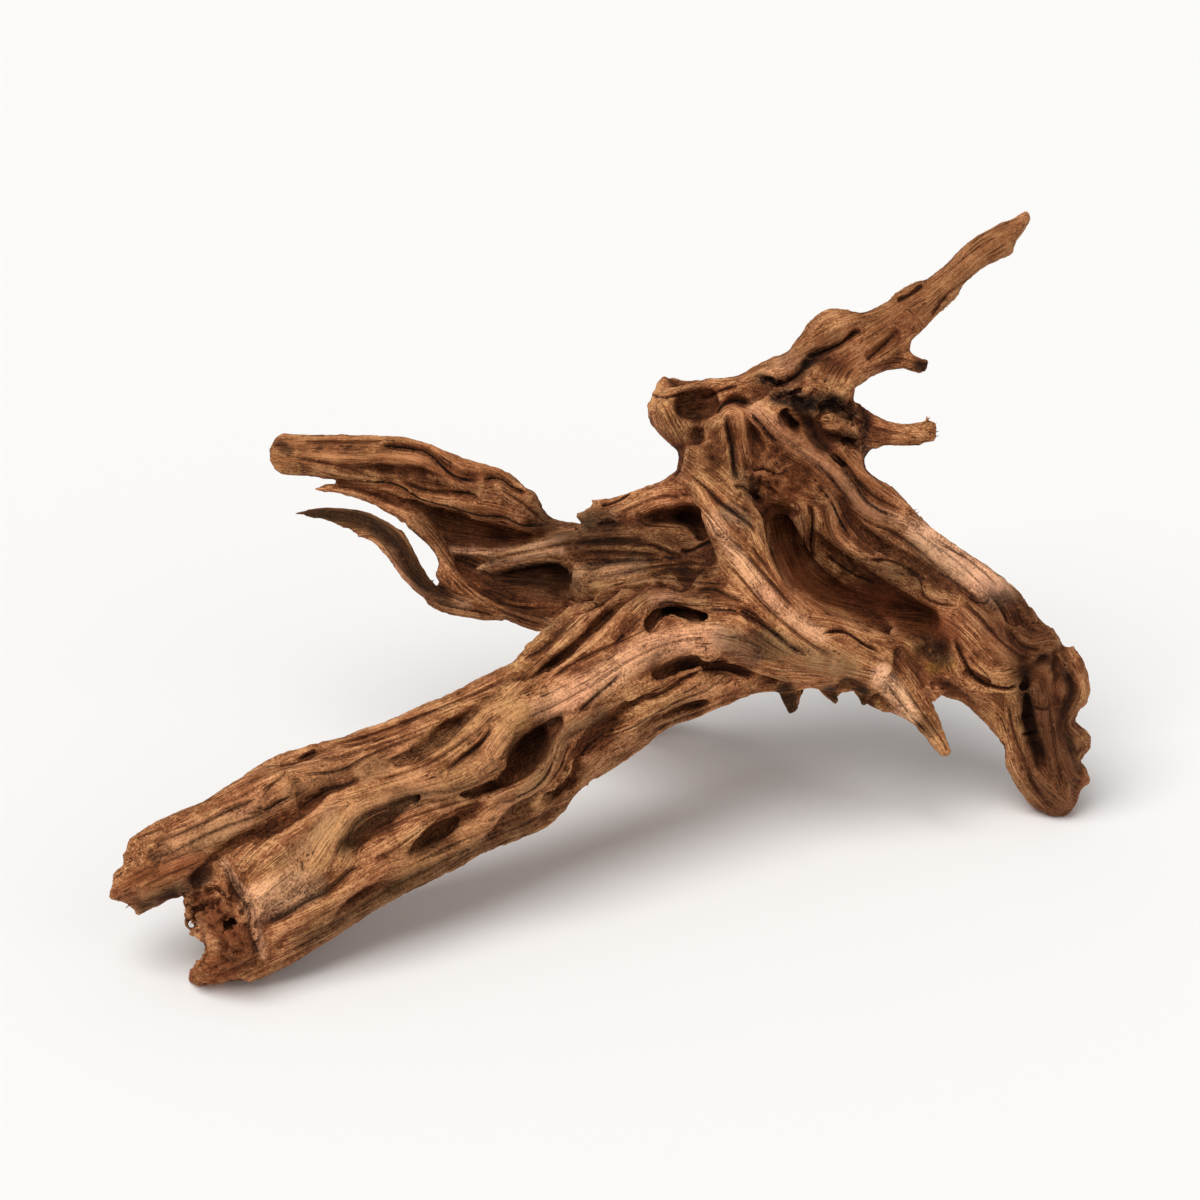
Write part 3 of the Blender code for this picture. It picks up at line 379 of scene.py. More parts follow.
# Ridges: height, half width in millimetres, and the line
RIDGES = {
    "s_ridge_foot": (3.0, 5.0, [
        (298, 886), (314, 866), (328, 845), (342, 824), (356, 809), (380, 799), (405, 792),
    ]),
    "s_ridge": (3.0, 5.5, [
        (395, 795), (430, 786), (460, 776), (484, 760), (498, 740), (514, 722), (540, 706),
    ]),
    "s_ridge_top": (3.5, 8.0, [
        (530, 710), (565, 694), (605, 672), (645, 648), (685, 638), (725, 638), (760, 652),
    ]),
    "log_upper_plank": (1.8, 6.0, [(170, 852), (210, 835), (250, 820), (295, 798), (330, 775)]),
    "log_top_plank": (1.5, 6.0, [(235, 795), (275, 775), (330, 760), (390, 735), (440, 712), (490, 692)]),
    "log_mid_plank": (1.5, 5.0, [(330, 800), (375, 786), (420, 772), (460, 748), (490, 715), (530, 697)]),
    "fork_ridge": (2.6, 3.5, [
        (478, 812), (500, 797), (523, 788), (542, 776), (553, 760), (557, 742), (566, 728), (585, 716),
        (605, 706),
    ]),
    "heel_inner": (2.0, 2.5, [(528, 806), (545, 797), (556, 783), (566, 768)]),
    "ridge_a": (2.4, 3.0, [(512, 692), (535, 668), (560, 645), (585, 618), (605, 602), (635, 593)]),
    "ridge_inner": (1.8, 2.5, [(560, 668), (585, 650), (602, 635), (616, 618), (628, 606)]),
    "ridge_b": (2.8, 3.2, [
        (634, 612), (645, 602), (656, 598), (675, 598), (694, 603), (722, 606), (745, 609),
    ]),
    "flank_ridge": (1.4, 3.0, [(370, 860), (400, 842), (425, 826), (450, 812), (485, 801)]),
    "low_ridge": (1.6, 5.0, [
        (270, 930), (310, 914), (350, 892), (390, 868), (420, 862), (455, 848), (500, 826),
    ]),
    "cavity_upper_lip": (1.6, 2.5, [(640, 514), (655, 507), (672, 503), (690, 500), (704, 507)]),
    "cavity_lower_lip": (2.2, 2.0, [(640, 537), (651, 539), (661, 543), (673, 549), (682, 553)]),
    "strand_upper": (2.2, 3.5, [(680, 474), (696, 487), (706, 503), (717, 518), (729, 533), (742, 545)]),
    "strand_grey": (1.8, 3.5, [(705, 480), (722, 495), (738, 512), (752, 530), (762, 552)]),
    "strand_lower": (2.2, 3.5, [
        (707, 547), (719, 543), (735, 551), (749, 567), (763, 585), (780, 606), (800, 624), (822, 638),
        (848, 653), (872, 664), (888, 672),
    ]),
    "bowl_edge": (2.0, 2.5, [(758, 535), (768, 560), (780, 583), (793, 602), (806, 615)]),
    "bowl_lip": (2.0, 4.0, [(812, 620), (840, 624), (870, 634), (900, 640), (920, 652)]),
    "pot_rim": (1.8, 2.5, [(657, 400), (664, 412), (670, 424), (677, 435), (684, 448)]),
    "pot_top": (1.2, 2.5, [(660, 385), (680, 386), (700, 379), (730, 376)]),
    "curl": (2.6, 2.8, [
        (721, 418), (726, 411), (733, 409), (740, 414), (742, 428), (743, 446), (748, 464),
    ]),
    "curl_knob": (2.2, 2.8, [(713, 430), (719, 423), (724, 428), (724, 440)]),
    "hub_plank": (3.0, 4.2, [(754, 406), (762, 413), (771, 424), (781, 434), (795, 446)]),
    "hub_strand": (1.8, 3.5, [(782, 446), (803, 455), (822, 465)]),
    "bump_light_1": (2.6, 3.6, [(800, 413), (810, 411), (817, 413)]),
    "bump_light_2": (2.8, 4.0, [(820, 424), (835, 424), (848, 430), (856, 438)]),
    "char_crest": (1.8, 2.5, [(800, 386), (818, 388), (835, 394), (848, 404)]),
    "w3": (2.8, 2.8, [
        (806, 451), (823, 463), (840, 478), (852, 494), (865, 508), (884, 516), (904, 520), (914, 527),
    ]),
    "w_outer": (2.2, 3.2, [
        (827, 442), (844, 456), (858, 470), (872, 484), (889, 496), (906, 508), (924, 520),
    ]),
    "w1": (3.0, 2.6, [
        (816, 487), (825, 498), (832, 512), (837, 534), (851, 549), (868, 560), (888, 568),
    ]),
    "w0": (1.6, 2.2, [(797, 514), (800, 530), (804, 546)]),
    "mass": (1.6, 4.5, [(824, 560), (845, 572), (870, 573), (900, 576), (930, 592)]),
    "plane_top": (1.4, 3.0, [(905, 530), (935, 545), (965, 566), (995, 590)]),
    "shoulder": (2.6, 2.6, [
        (1004, 604), (1010, 618), (1017, 631), (1030, 641), (1050, 638), (1058, 640),
    ]),
    "arm_belly_ridge": (1.6, 4.0, [(960, 610), (985, 640), (1000, 655), (1022, 662)]),
    "knob": (2.4, 4.5, [(974, 664), (984, 672), (1000, 676), (1016, 672)]),
    "leg_lobe": (2.2, 3.0, [(1066, 658), (1078, 674), (1083, 692), (1077, 706)]),
    "leg_ball": (2.6, 3.6, [(1078, 738), (1082, 748)]),
    "leg_band": (1.8, 2.6, [(1043, 692), (1044, 712), (1050, 743), (1058, 772)]),
    "leg_front": (1.4, 3.6, [(1012, 742), (1024, 765), (1040, 785), (1056, 800)]),
    "spike_crest": (1.6, 2.4, [(880, 672), (898, 690), (916, 712), (934, 734), (947, 752)]),
    "spike_knob": (1.8, 2.4, [(924, 686), (931, 696), (935, 706)]),
    "branch_knob": (2.2, 4.0, [(908, 312), (916, 318), (920, 324)]),
    "branch_rib": (1.2, 3.0, [(860, 336), (882, 322), (905, 306), (930, 292), (955, 268), (985, 244)]),
    "branch_low_rib": (1.4, 2.4, [(872, 364), (895, 350), (914, 334)]),
    "branch_flake": (1.4, 2.5, [(896, 295), (906, 288), (920, 282)]),
    "limb_rib_top": (1.6, 3.0, [
        (290, 438), (340, 437), (390, 439), (430, 446), (458, 462), (495, 470), (512, 480),
    ]),
    "limb_rib_mid": (1.6, 2.8, [
        (300, 455), (345, 458), (395, 456), (428, 462), (446, 474), (478, 487), (500, 492),
    ]),
    "limb_rib_low": (1.4, 2.4, [
        (320, 468), (350, 476), (392, 480), (425, 498), (460, 504), (495, 508), (528, 518),
    ]),
    "blade_outer": (0.8, 2.0, [(372, 542), (390, 562), (410, 585), (436, 600), (470, 606)]),
    "prong_pink": (1.2, 1.6, [(574, 572), (592, 572), (612, 568), (645, 563), (680, 560)]),
}

# Lines that only the grain follows
GRAIN = {
    "belly_1": [(700, 665), (740, 660), (780, 668), (820, 672), (860, 680)],
    "belly_2": [(735, 625), (765, 645), (800, 662), (840, 668), (870, 675)],
    "belly_3": [(760, 690), (800, 685), (850, 685), (890, 700), (925, 728)],
    "bowl_1": [(775, 520), (785, 555), (805, 590), (840, 605), (890, 615), (935, 622), (965, 648)],
    "bowl_2": [(790, 510), (800, 550), (825, 580), (870, 595), (920, 608), (955, 630), (985, 660)],
    "hub_1": [(690, 455), (715, 470), (735, 490), (760, 515)],
    "hub_2": [(765, 455), (780, 480), (800, 495), (830, 500)],
    "hub_3": [(700, 380), (740, 378), (790, 360), (820, 345)],
    "branch_1": [(830, 390), (845, 365), (875, 345), (905, 325), (935, 300), (975, 262), (1010, 240)],
    "branch_2": [(815, 340), (850, 322), (890, 308), (920, 290), (950, 268), (980, 240), (1020, 220)],
    "stub": [(860, 440), (885, 440), (915, 440)],
    "shoot": [(870, 366), (895, 360), (915, 365), (926, 368)],
    "arm_edge": [(900, 500), (940, 535), (980, 565), (1015, 590), (1045, 628)],
    "arm_low": [(935, 690), (970, 695), (1000, 715), (1010, 745), (1020, 775), (1045, 805)],
    "leg_edge": [(1060, 640), (1080, 675), (1078, 705), (1068, 725), (1084, 745), (1080, 765)],
    "leg_plate": [(1060, 755), (1068, 775), (1082, 785)],
    "blade_1": [(295, 513), (340, 512), (380, 525), (405, 550), (420, 575), (450, 597), (500, 612)],
    "wall_1": [(440, 520), (480, 530), (520, 535), (560, 532)],
    "wall_2": [(450, 540), (480, 542), (510, 545)],
    "wall_3": [(500, 578), (530, 580), (565, 582)],
    "tongue_1": [(115, 890), (150, 872), (190, 856), (215, 846)],
    "tongue_2": [(120, 902), (150, 890), (180, 880)],
    "toe": [(192, 976), (220, 968), (250, 958), (275, 945)],
    "keel": [(240, 980), (300, 950), (360, 915), (420, 885), (480, 850), (550, 822)],
}

# The limbs' middles (pixel across, pixel down, depth in millimetres), for the grain round their far sides
LIMBS = {
    "log": [
        (150, 915, -122), (235, 893, -118), (300, 852, -108), (434, 788, -84), (560, 712, -56),
        (740, 615, -14),
    ],
    "body": [
        (716, 440, 6), (720, 515, -8), (740, 565, -16), (773, 612, -18), (818, 645, -18), (890, 672, -14),
    ],
    "back_root": [(740, 600, 20), (706, 622, 44), (680, 668, 68), (650, 694, 96), (617, 732, 123)],
    "fan": [(590, 540, 4), (640, 535, 0), (700, 540, -8), (760, 560, -12)],
    "hub": [(655, 410, 6), (700, 414, 4), (760, 414, 4), (815, 404, 4), (850, 394, 6)],
    "arm": [
        (790, 405, 4), (850, 505, 6), (915, 585, 8), (980, 638, 10), (1033, 690, 14), (1050, 750, 22),
        (1062, 815, 33),
    ],
    "branch": [(825, 370, 4), (858, 346, 4), (905, 314, 4), (945, 284, 4), (985, 250, 4), (1030, 216, 4)],
    "upper_left_limb": [
        (264, 454, 22), (330, 458, 22), (400, 467, 22), (460, 483, 22), (550, 522, 18), (650, 545, 10),
    ],
    "lower_blade": [
        (292, 514, 10), (360, 521, 12), (395, 546, 14), (416, 578, 18), (445, 603, 22), (540, 612, 28),
    ],
    "scoop_wall": [(400, 500, 32), (450, 538, 34), (510, 568, 32), (570, 588, 24), (620, 590, 10)],
    "lower_shoot": [(850, 424, 4), (880, 432, 0), (905, 434, -4), (938, 431, -8)],
    "spike": [(868, 655, -18), (900, 686, -18), (918, 708, -16), (936, 730, -14), (952, 760, -13)],
}

# How finely the wood is shaped, with its voxels in metres
FIRST_VOXEL = 0.0015
SECOND_VOXEL = 0.00105
MOST_TRIANGLES = 196000
LEAN = 0.4
SOFTENING_PASSES = 3
THINNEST_SHARE = 0.42

# Grain lines round the limbs
GRAIN_STEP_M = 0.002
ROUND_LINES = 11
ROUND_SWAY_DEG = 7.0
ROUND_WAVE_M = 0.1
CLEAR_OF_FRONT_M = 0.007

# Relief along the grain: (height, width across the grain, length along it), in millimetres
RELIEF = ((0.7, 6.5, 90.0), (0.3, 2.8, 50.0), (0.16, 1.4, 30.0))
STRAND_RIDGED = 2.2
STRAND_ROLLING = 0.6
STRAND_SUNK = 0.5
STRAND_CREASE_MM = 0.2
STRAND_GAP_MM = 2.2

# Colour patches: colour, strength, radius in pixels, and their line. The near-black patches are partly real
# char and partly painted shade under the slab, under the fan and the limb, between the fingers and on the
# pegs under the arch
STAINS = (
    ("fresh", 0.85, 17, [(262, 902), (285, 893), (305, 884)]),
    ("fresh", 0.5, 10, [(300, 870), (320, 842), (338, 818)]),
    ("fresh", 0.55, 12, [(180, 845), (215, 828), (240, 818)]),
    ("bare", 1.0, 15, [(924, 530), (950, 553), (978, 574), (1000, 590)]),
    ("tan", 0.6, 13, [(160, 850), (220, 825), (290, 790), (330, 770)]),
    ("tan", 0.75, 12, [
        (310, 862), (330, 832), (350, 814), (390, 799), (440, 787), (480, 768), (502, 740), (520, 718),
    ]),
    ("tan", 0.5, 12, [(400, 872), (450, 842), (500, 817), (540, 795)]),
    ("tan", 0.5, 10, [(360, 770), (420, 748), (470, 728), (510, 690)]),
    ("tan", 0.35, 9, [(290, 452), (340, 450), (400, 452), (430, 460)]),
    ("tan", 0.3, 8, [(440, 452), (480, 468), (520, 482)]),
    ("fresh", 0.7, 13, [(545, 708), (600, 680), (645, 652), (685, 640), (712, 638)]),
    ("fresh", 0.7, 4, [(224, 862), (237, 884), (252, 904), (257, 930), (263, 955)]),
    ("fresh", 0.5, 8, [(578, 573), (600, 571), (640, 565)]),
    ("fresh", 0.5, 6, [(385, 556), (405, 582), (430, 597), (465, 604)]),
    ("fresh", 0.6, 6, [(655, 602), (675, 598)]),
    ("fresh", 0.75, 7, [(712, 520), (745, 567), (765, 592), (790, 616), (820, 636)]),
    ("fresh", 0.5, 6, [(810, 455), (840, 480), (862, 505), (900, 520)]),
    ("fresh", 0.45, 8, [(756, 410), (775, 428), (800, 450)]),
    ("fresh", 0.4, 9, [(770, 366), (790, 362)]),
    ("fresh", 0.9, 3, [(452, 550), (490, 551), (530, 547), (565, 537)]),
    ("fresh", 0.8, 3, [(479, 569), (500, 562), (530, 556), (562, 550)]),
    # Painted shade between and under the fingers
    ("char_and_shade", 0.9, 3, [(457, 556), (475, 559), (494, 560)]),
    ("char_and_shade", 0.85, 4, [(494, 574), (522, 567), (560, 564)]),
    ("reddish", 0.9, 14, [(205, 905), (225, 925), (240, 950), (215, 970)]),
    ("reddish", 0.6, 12, [(120, 895), (150, 880), (190, 865)]),
    ("reddish", 0.8, 14, [(785, 560), (815, 595), (860, 605), (910, 612), (945, 630)]),
    ("reddish", 0.5, 12, [(765, 480), (785, 490), (800, 470)]),
    ("reddish", 0.5, 8, [(1065, 770), (1080, 780)]),
    ("reddish", 0.4, 6, [(590, 594), (598, 595)]),
    ("olive", 0.5, 9, [(345, 850), (356, 828), (380, 812), (420, 796)]),
    ("olive", 0.7, 14, [(765, 642), (800, 657), (845, 666)]),
    ("olive", 0.4, 9, [(280, 862), (310, 840), (330, 815)]),
    ("olive", 0.45, 10, [(300, 940), (350, 915), (400, 888), (460, 858), (520, 830)]),
    ("olive", 0.5, 7, [(500, 800), (530, 790), (550, 765), (565, 735), (600, 715)]),
    ("ochre", 0.6, 6, [(932, 668), (950, 664)]),
    ("grey", 0.6, 9, [(728, 512), (742, 520)]),
    ("grey", 0.6, 12, [(722, 638), (740, 645), (750, 655)]),
    ("grey", 0.45, 8, [(590, 520), (610, 518)]),
    ("grey", 0.4, 8, [(745, 480), (752, 495)]),
    ("char_and_shade", 0.85, 11, [(925, 645), (938, 650), (942, 658)]),
    ("char_and_shade", 1.0, 6, [(760, 379), (776, 384), (795, 378), (806, 364), (816, 356)]),
    ("char_and_shade", 1.0, 9, [(778, 396), (796, 400), (812, 404), (832, 402), (850, 412)]),
    ("char_and_shade", 1.0, 6, [(818, 432), (836, 438), (852, 438), (862, 448)]),
    ("char_and_shade", 1.0, 5, [(858, 396), (866, 412), (864, 430), (866, 452)]),
    ("char_and_shade", 0.9, 4, [(728, 420), (732, 445), (735, 475)]),
    ("char_and_shade", 0.6, 8, [(918, 366), (924, 366)]),
    ("char_and_shade", 0.9, 8, [(1026, 670), (1027, 695), (1029, 720), (1037, 748)]),
    ("char_and_shade", 0.6, 6, [(1040, 660), (1048, 658)]),
    ("char_and_shade", 0.5, 8, [(1012, 600), (1024, 610)]),
    ("char_and_shade", 0.8, 6, [(1062, 672), (1072, 690), (1062, 720), (1070, 750)]),
    ("char_and_shade", 0.5, 8, [(510, 612), (545, 620)]),
    ("char_and_shade", 0.45, 5, [(678, 670), (690, 664)]),
    ("char_and_shade", 0.55, 10, [(850, 565), (880, 572), (910, 580)]),
    ("char_and_shade", 0.4, 8, [(1050, 800), (1062, 812)]),
    # Painted shade under the slab
    ("char_and_shade", 0.75, 8, [(145, 908), (165, 898), (185, 888), (205, 876)]),
    # Painted shade on the pegs under the arch
    ("char_and_shade", 0.8, 9, [(786, 692), (794, 712)]),
    ("char_and_shade", 0.8, 7, [(830, 694), (838, 703)]),
    ("char_and_shade", 0.8, 7, [(862, 694), (866, 706)]),
    ("char_and_shade", 0.6, 9, [(900, 716), (930, 728)]),
    # Painted shade under the limb and the fan
    ("char_and_shade", 0.55, 16, [(540, 520), (570, 530), (600, 535)]),
    ("char_and_shade", 0.5, 14, [(500, 585), (540, 588), (566, 584)]),
    ("char_and_shade", 0.85, 8, [(300, 511), (350, 515), (386, 533), (406, 560), (424, 586), (445, 597)]),
    ("char_and_shade", 0.4, 16, [(1020, 660), (1035, 690), (1050, 720), (1058, 750)]),
    ("char_and_shade", 0.35, 10, [(790, 360), (815, 352), (840, 340)]),
    ("char_and_shade", 0.8, 6, [(920, 366), (927, 368)]),
    ("char_and_shade", 0.8, 6, [(796, 402), (806, 418), (812, 436), (824, 448)]),
    ("char_and_shade", 0.6, 5, [(281, 446), (287, 451)]),
    ("reddish", 0.45, 24, [(800, 440), (840, 470), (870, 500)]),
    ("reddish", 0.4, 20, [(745, 430), (770, 450), (790, 480)]),
    ("reddish", 0.5, 26, [(1010, 630), (1045, 680), (1050, 740), (1060, 800)]),
    ("reddish", 0.4, 22, [(850, 355), (900, 320), (950, 290), (1010, 235)]),
    ("reddish", 0.4, 16, [(275, 455), (340, 452), (410, 458), (480, 470)]),
    ("bare", 1.0, 10, [(882, 676), (896, 696), (908, 715)]),
)
STAIN_COLOURS = {
    "fresh": "#E0AC8A",
    "bare": "#EEBB9B",
    "reddish": "#82482B",
    "olive": "#765F45",
    "tan": "#BB8A62",
    "ochre": "#9A7430",
    "grey": "#66574A",
    # Near-black: real char, and painted shade in the shadowed places
    "char_and_shade": "#1A100B",
}

# Darker parts, each a strength, radius in pixels, and their line: painted shade where the piece lies in
# shadow, such as the fan, under the limb and the slab, the log's lower flank and the pegs under the arch,
# and darker charred wood on the leg, by the hub and at the twig's tip
SHADES = (
    (0.65, 30, [(560, 525), (620, 545), (690, 565)]),
    (0.5, 18, [(560, 590), (620, 590), (700, 592)]),
    (0.75, 10, [(305, 512), (360, 520), (395, 540), (420, 575), (440, 592)]),
    (0.5, 26, [(430, 530), (500, 550), (555, 570)]),
    (0.4, 8, [(290, 473), (340, 471), (400, 474), (440, 482)]),
    (0.4, 8, [(465, 486), (500, 494), (540, 512)]),
    (0.4, 10, [(380, 556), (410, 592), (460, 612), (560, 625)]),
    (0.65, 34, [(1005, 610), (1040, 650), (1050, 710), (1050, 760), (1058, 810)]),
    (0.15, 30, [(795, 530), (840, 575), (900, 600), (950, 625)]),
    (0.5, 26, [(845, 500), (885, 540), (940, 580)]),
    (0.25, 30, [(690, 440), (750, 460), (820, 460)]),
    (0.4, 18, [(690, 395), (690, 430)]),
    (0.5, 14, [(280, 975), (400, 895), (480, 855), (545, 822), (600, 768), (690, 712)]),
    (0.5, 10, [(120, 905), (180, 885), (205, 872)]),
    (0.4, 16, [(205, 905), (225, 930), (235, 955)]),
    (0.35, 12, [(400, 800), (470, 790), (530, 770), (560, 735), (600, 705)]),
    (0.4, 10, [(200, 845), (260, 815), (320, 785), (380, 765)]),
    (0.35, 12, [(820, 400), (850, 420), (850, 440)]),
    (0.22, 30, [(840, 355), (900, 320), (950, 290), (1020, 225)]),
    (1.0, 7, [(1024, 672), (1028, 700), (1032, 730), (1040, 752)]),
    (0.95, 5, [(1062, 668), (1070, 690), (1063, 720), (1072, 748)]),
    (0.9, 6, [(1043, 655), (1052, 664)]),
    (0.9, 6, [(796, 402), (806, 418), (812, 436), (824, 448)]),
    (0.9, 6, [(919, 365), (927, 367)]),
    (0.75, 5, [(279, 444), (288, 450)]),
    (0.85, 8, [(784, 690), (794, 712)]),
    (0.85, 7, [(830, 692), (838, 703)]),
    (0.85, 7, [(862, 692), (868, 706)]),
)

CAMERA_SENSOR_MM = 36.0
CAMERA_LENS_MM = CAMERA_SENSOR_MM * VIEW_DISTANCE_MM / (2 * VIEW_MIDDLE_PX * MM_PER_PIXEL)

# Splinters, teeth and knobs: (pixel across, pixel down, depth and radius in millimetres)
STICKS = {
    "finger_upper": [
        (448, 550, 8, 1.3), (470, 553, 6, 2.0), (495, 554, 2, 2.5), (520, 552, -2, 3.3),
        (548, 545, -6, 4.6), (575, 540, -8, 5.0), (600, 542, -8, 4.0),
    ],
    "finger_lower": [
        (474, 570, 8, 1.3), (490, 565, 6, 2.2), (510, 560, 2, 2.8), (540, 552, -4, 3.8),
        (575, 552, -8, 4.0),
    ],
    "fan_spike": [(588, 499, -4, 0.9), (600, 502, -6, 1.7), (620, 502, -9, 2.6), (645, 492, -11, 3.4)],
    "fan_tip": [(576, 513, -4, 1.4), (584, 517, -6, 3.2), (600, 517, -7, 4.0), (630, 512, -9, 4.5)],
    "fan_plate_tip": [(566, 546, -6, 1.2), (580, 549, -8, 3.0), (610, 549, -8, 3.5)],
    "fan_prong_tip": [(572, 570, -10, 1.2), (582, 574, -11, 2.8), (610, 572, -11, 3.2)],
    "fan_low_tip": [(578, 592, -10, 1.0), (590, 588, -11, 2.2), (620, 584, -11, 3.0)],
    "limb_root": [(470, 505, 22, 6.0), (520, 520, 20, 5.5), (560, 530, 14, 5.0), (600, 535, 6, 5.0)],
    "leaf_tip": [
        (308, 487, 17, 0.7), (318, 489, 17, 1.4), (336, 489, 18, 2.4), (362, 492, 19, 3.0),
        (392, 502, 21, 3.5),
    ],
    "blade_tip": [(290, 514, 10, 0.7), (302, 513, 10, 1.6), (318, 512, 10, 2.4), (338, 514, 11, 2.8)],
    "blade_twig": [(351, 540, 10, 0.7), (358, 538, 10, 1.0), (366, 535, 11, 1.4), (374, 535, 12, 2.0)],
    "inner_splinter": [
        (436, 569, 20, 1.0), (441, 578, 20, 2.0), (450, 588, 20, 2.4), (464, 599, 21, 2.2),
    ],
    "slab_tip": [
        (108, 897, -131, 1.2), (118, 895, -132, 3.0), (142, 885, -136, 4.5), (170, 872, -140, 5.0),
    ],
    "slab_tooth_low": [
        (138, 917, -128, 0.9), (144, 908, -129, 2.2), (162, 895, -130, 3.5), (190, 879, -130, 4.0),
    ],
    "slab_tooth_1": [(113, 877, -133, 1.2), (122, 872, -135, 2.5), (150, 858, -141, 3.0)],
    "slab_tooth_2": [(121, 858, -135, 1.0), (132, 853, -138, 2.0), (155, 845, -142, 3.0)],
    "slab_tooth_3": [(126, 843, -137, 0.9), (134, 841, -138, 1.7), (160, 833, -142, 3.0)],
    "lump_1": [(195, 889, -142, 2.0), (208, 884, -147, 4.0), (222, 877, -149, 4.0)],
    "lump_2": [
        (183, 904, -138, 1.5), (196, 900, -143, 3.5), (212, 896, -148, 4.0), (228, 892, -150, 3.0),
    ],
    "lump_3": [
        (202, 926, -141, 2.5), (212, 918, -147, 4.4), (224, 911, -151, 4.2), (236, 906, -151, 3.0),
    ],
    "lump_4": [
        (185, 915, -136, 1.3), (196, 913, -142, 2.2), (206, 909, -147, 2.8), (218, 904, -150, 2.6),
    ],
    "lump_5": [
        (188, 931, -132, 1.3), (200, 936, -140, 2.2), (216, 931, -147, 3.4), (236, 926, -152, 3.6),
        (252, 922, -152, 3.0),
    ],
    "lump_6": [
        (207, 950, -136, 2.5), (224, 946, -147, 4.6), (244, 938, -152, 4.6), (258, 934, -152, 3.0),
    ],
    "lump_7": [
        (200, 972, -130, 4.5), (216, 964, -141, 5.0), (232, 957, -149, 4.6), (250, 949, -152, 3.5),
    ],
    "toe": [(188, 979, -121, 2.2), (200, 976, -122, 4.6), (222, 968, -124, 7.0), (248, 960, -128, 9.0)],
    "trough_fill": [
        (370, 775, -118, 3.0), (398, 761, -113, 6.0), (425, 748, -103, 6.0), (447, 736, -96, 4.0),
    ],
    "stub_end": [(898, 434, -4, 4.4), (916, 432, -6, 5.0), (932, 431, -8, 5.6), (936, 431, -8, 4.6)],
    "shoot_end": [(898, 358, -2, 2.6), (910, 363, -3, 2.8), (920, 366, -3, 4.0), (926, 368, -3, 3.0)],
    "branch_thorn": [(896, 346, 4, 4.0), (904, 344, 3, 2.6), (909, 341, 3, 1.0)],
    "branch_tip": [(996, 243, 4, 5.0), (1014, 228, 4, 4.6), (1026, 217, 4, 3.6), (1031, 215, 4, 2.0)],
    "branch_tooth": [(1000, 254, 4, 3.6), (1009, 252, 4, 2.2), (1016, 250, 4, 0.9)],
    "branch_flake_top": [(800, 344, 4, 2.0), (812, 326, 4, 3.0), (832, 314, 4, 3.0), (856, 316, 4, 2.0)],
    "spike_end": [
        (898, 696, -17, 5.4), (914, 712, -16, 5.0), (930, 730, -15, 4.4), (941, 746, -14, 4.0),
        (948, 755, -14, 3.4),
    ],
    "peg_1": [(784, 682, -6, 4.4), (789, 698, -5, 4.0), (794, 712, -4, 3.0)],
    "peg_2": [(826, 682, -6, 3.6), (831, 694, -5, 3.0), (838, 703, -5, 1.8)],
    "peg_3": [(858, 684, -6, 3.4), (862, 696, -5, 2.8), (866, 706, -5, 1.6)],
    "peg_4": [(872, 682, 4, 4.0), (892, 704, 5, 3.6), (912, 718, 5, 2.6), (930, 728, 5, 1.2)],
    "leg_ball": [(1074, 726, 11, 3.0), (1081, 740, 12, 6.0), (1078, 752, 12, 4.0)],
    "leg_plate": [(1062, 772, 20, 5.0), (1078, 776, 22, 5.0), (1088, 778, 22, 3.4)],
    "leg_lobe": [(1066, 650, 3, 4.4), (1077, 668, 4, 5.0), (1081, 688, 5, 5.2), (1076, 705, 6, 4.0)],
    "arm_chip_1": [(1012, 600, 6, 3.0), (1026, 610, 6, 3.0), (1037, 622, 7, 2.0)],
    "arm_chip_2": [(1030, 626, 8, 3.0), (1044, 631, 8, 2.4), (1055, 636, 9, 1.4)],
    "arm_splinter": [(898, 508, 4, 3.0), (914, 518, 4, 2.0), (930, 524, 3, 0.9)],
    "slot_fill": [
        (198, 884, -143, 4.0), (212, 874, -144, 5.0), (228, 865, -144, 5.5), (246, 855, -140, 5.0),
    ],
    "pot_fill": [(690, 428, -6, 6.0), (697, 436, -5.5, 6.0), (702, 444, -8, 5.0)],
    "pot_floor": [(682, 403, 1, 6.0), (704, 396, 1, 7.0), (728, 392, 0, 6.0)],
    "bowl_back": [(840, 600, 26, 8.0), (880, 628, 25, 9.0), (920, 655, 20, 9.0)],
}
STICK_SIDES = 10
STICK_WOBBLE = 0.22
STICK_LUMP_MM = 5

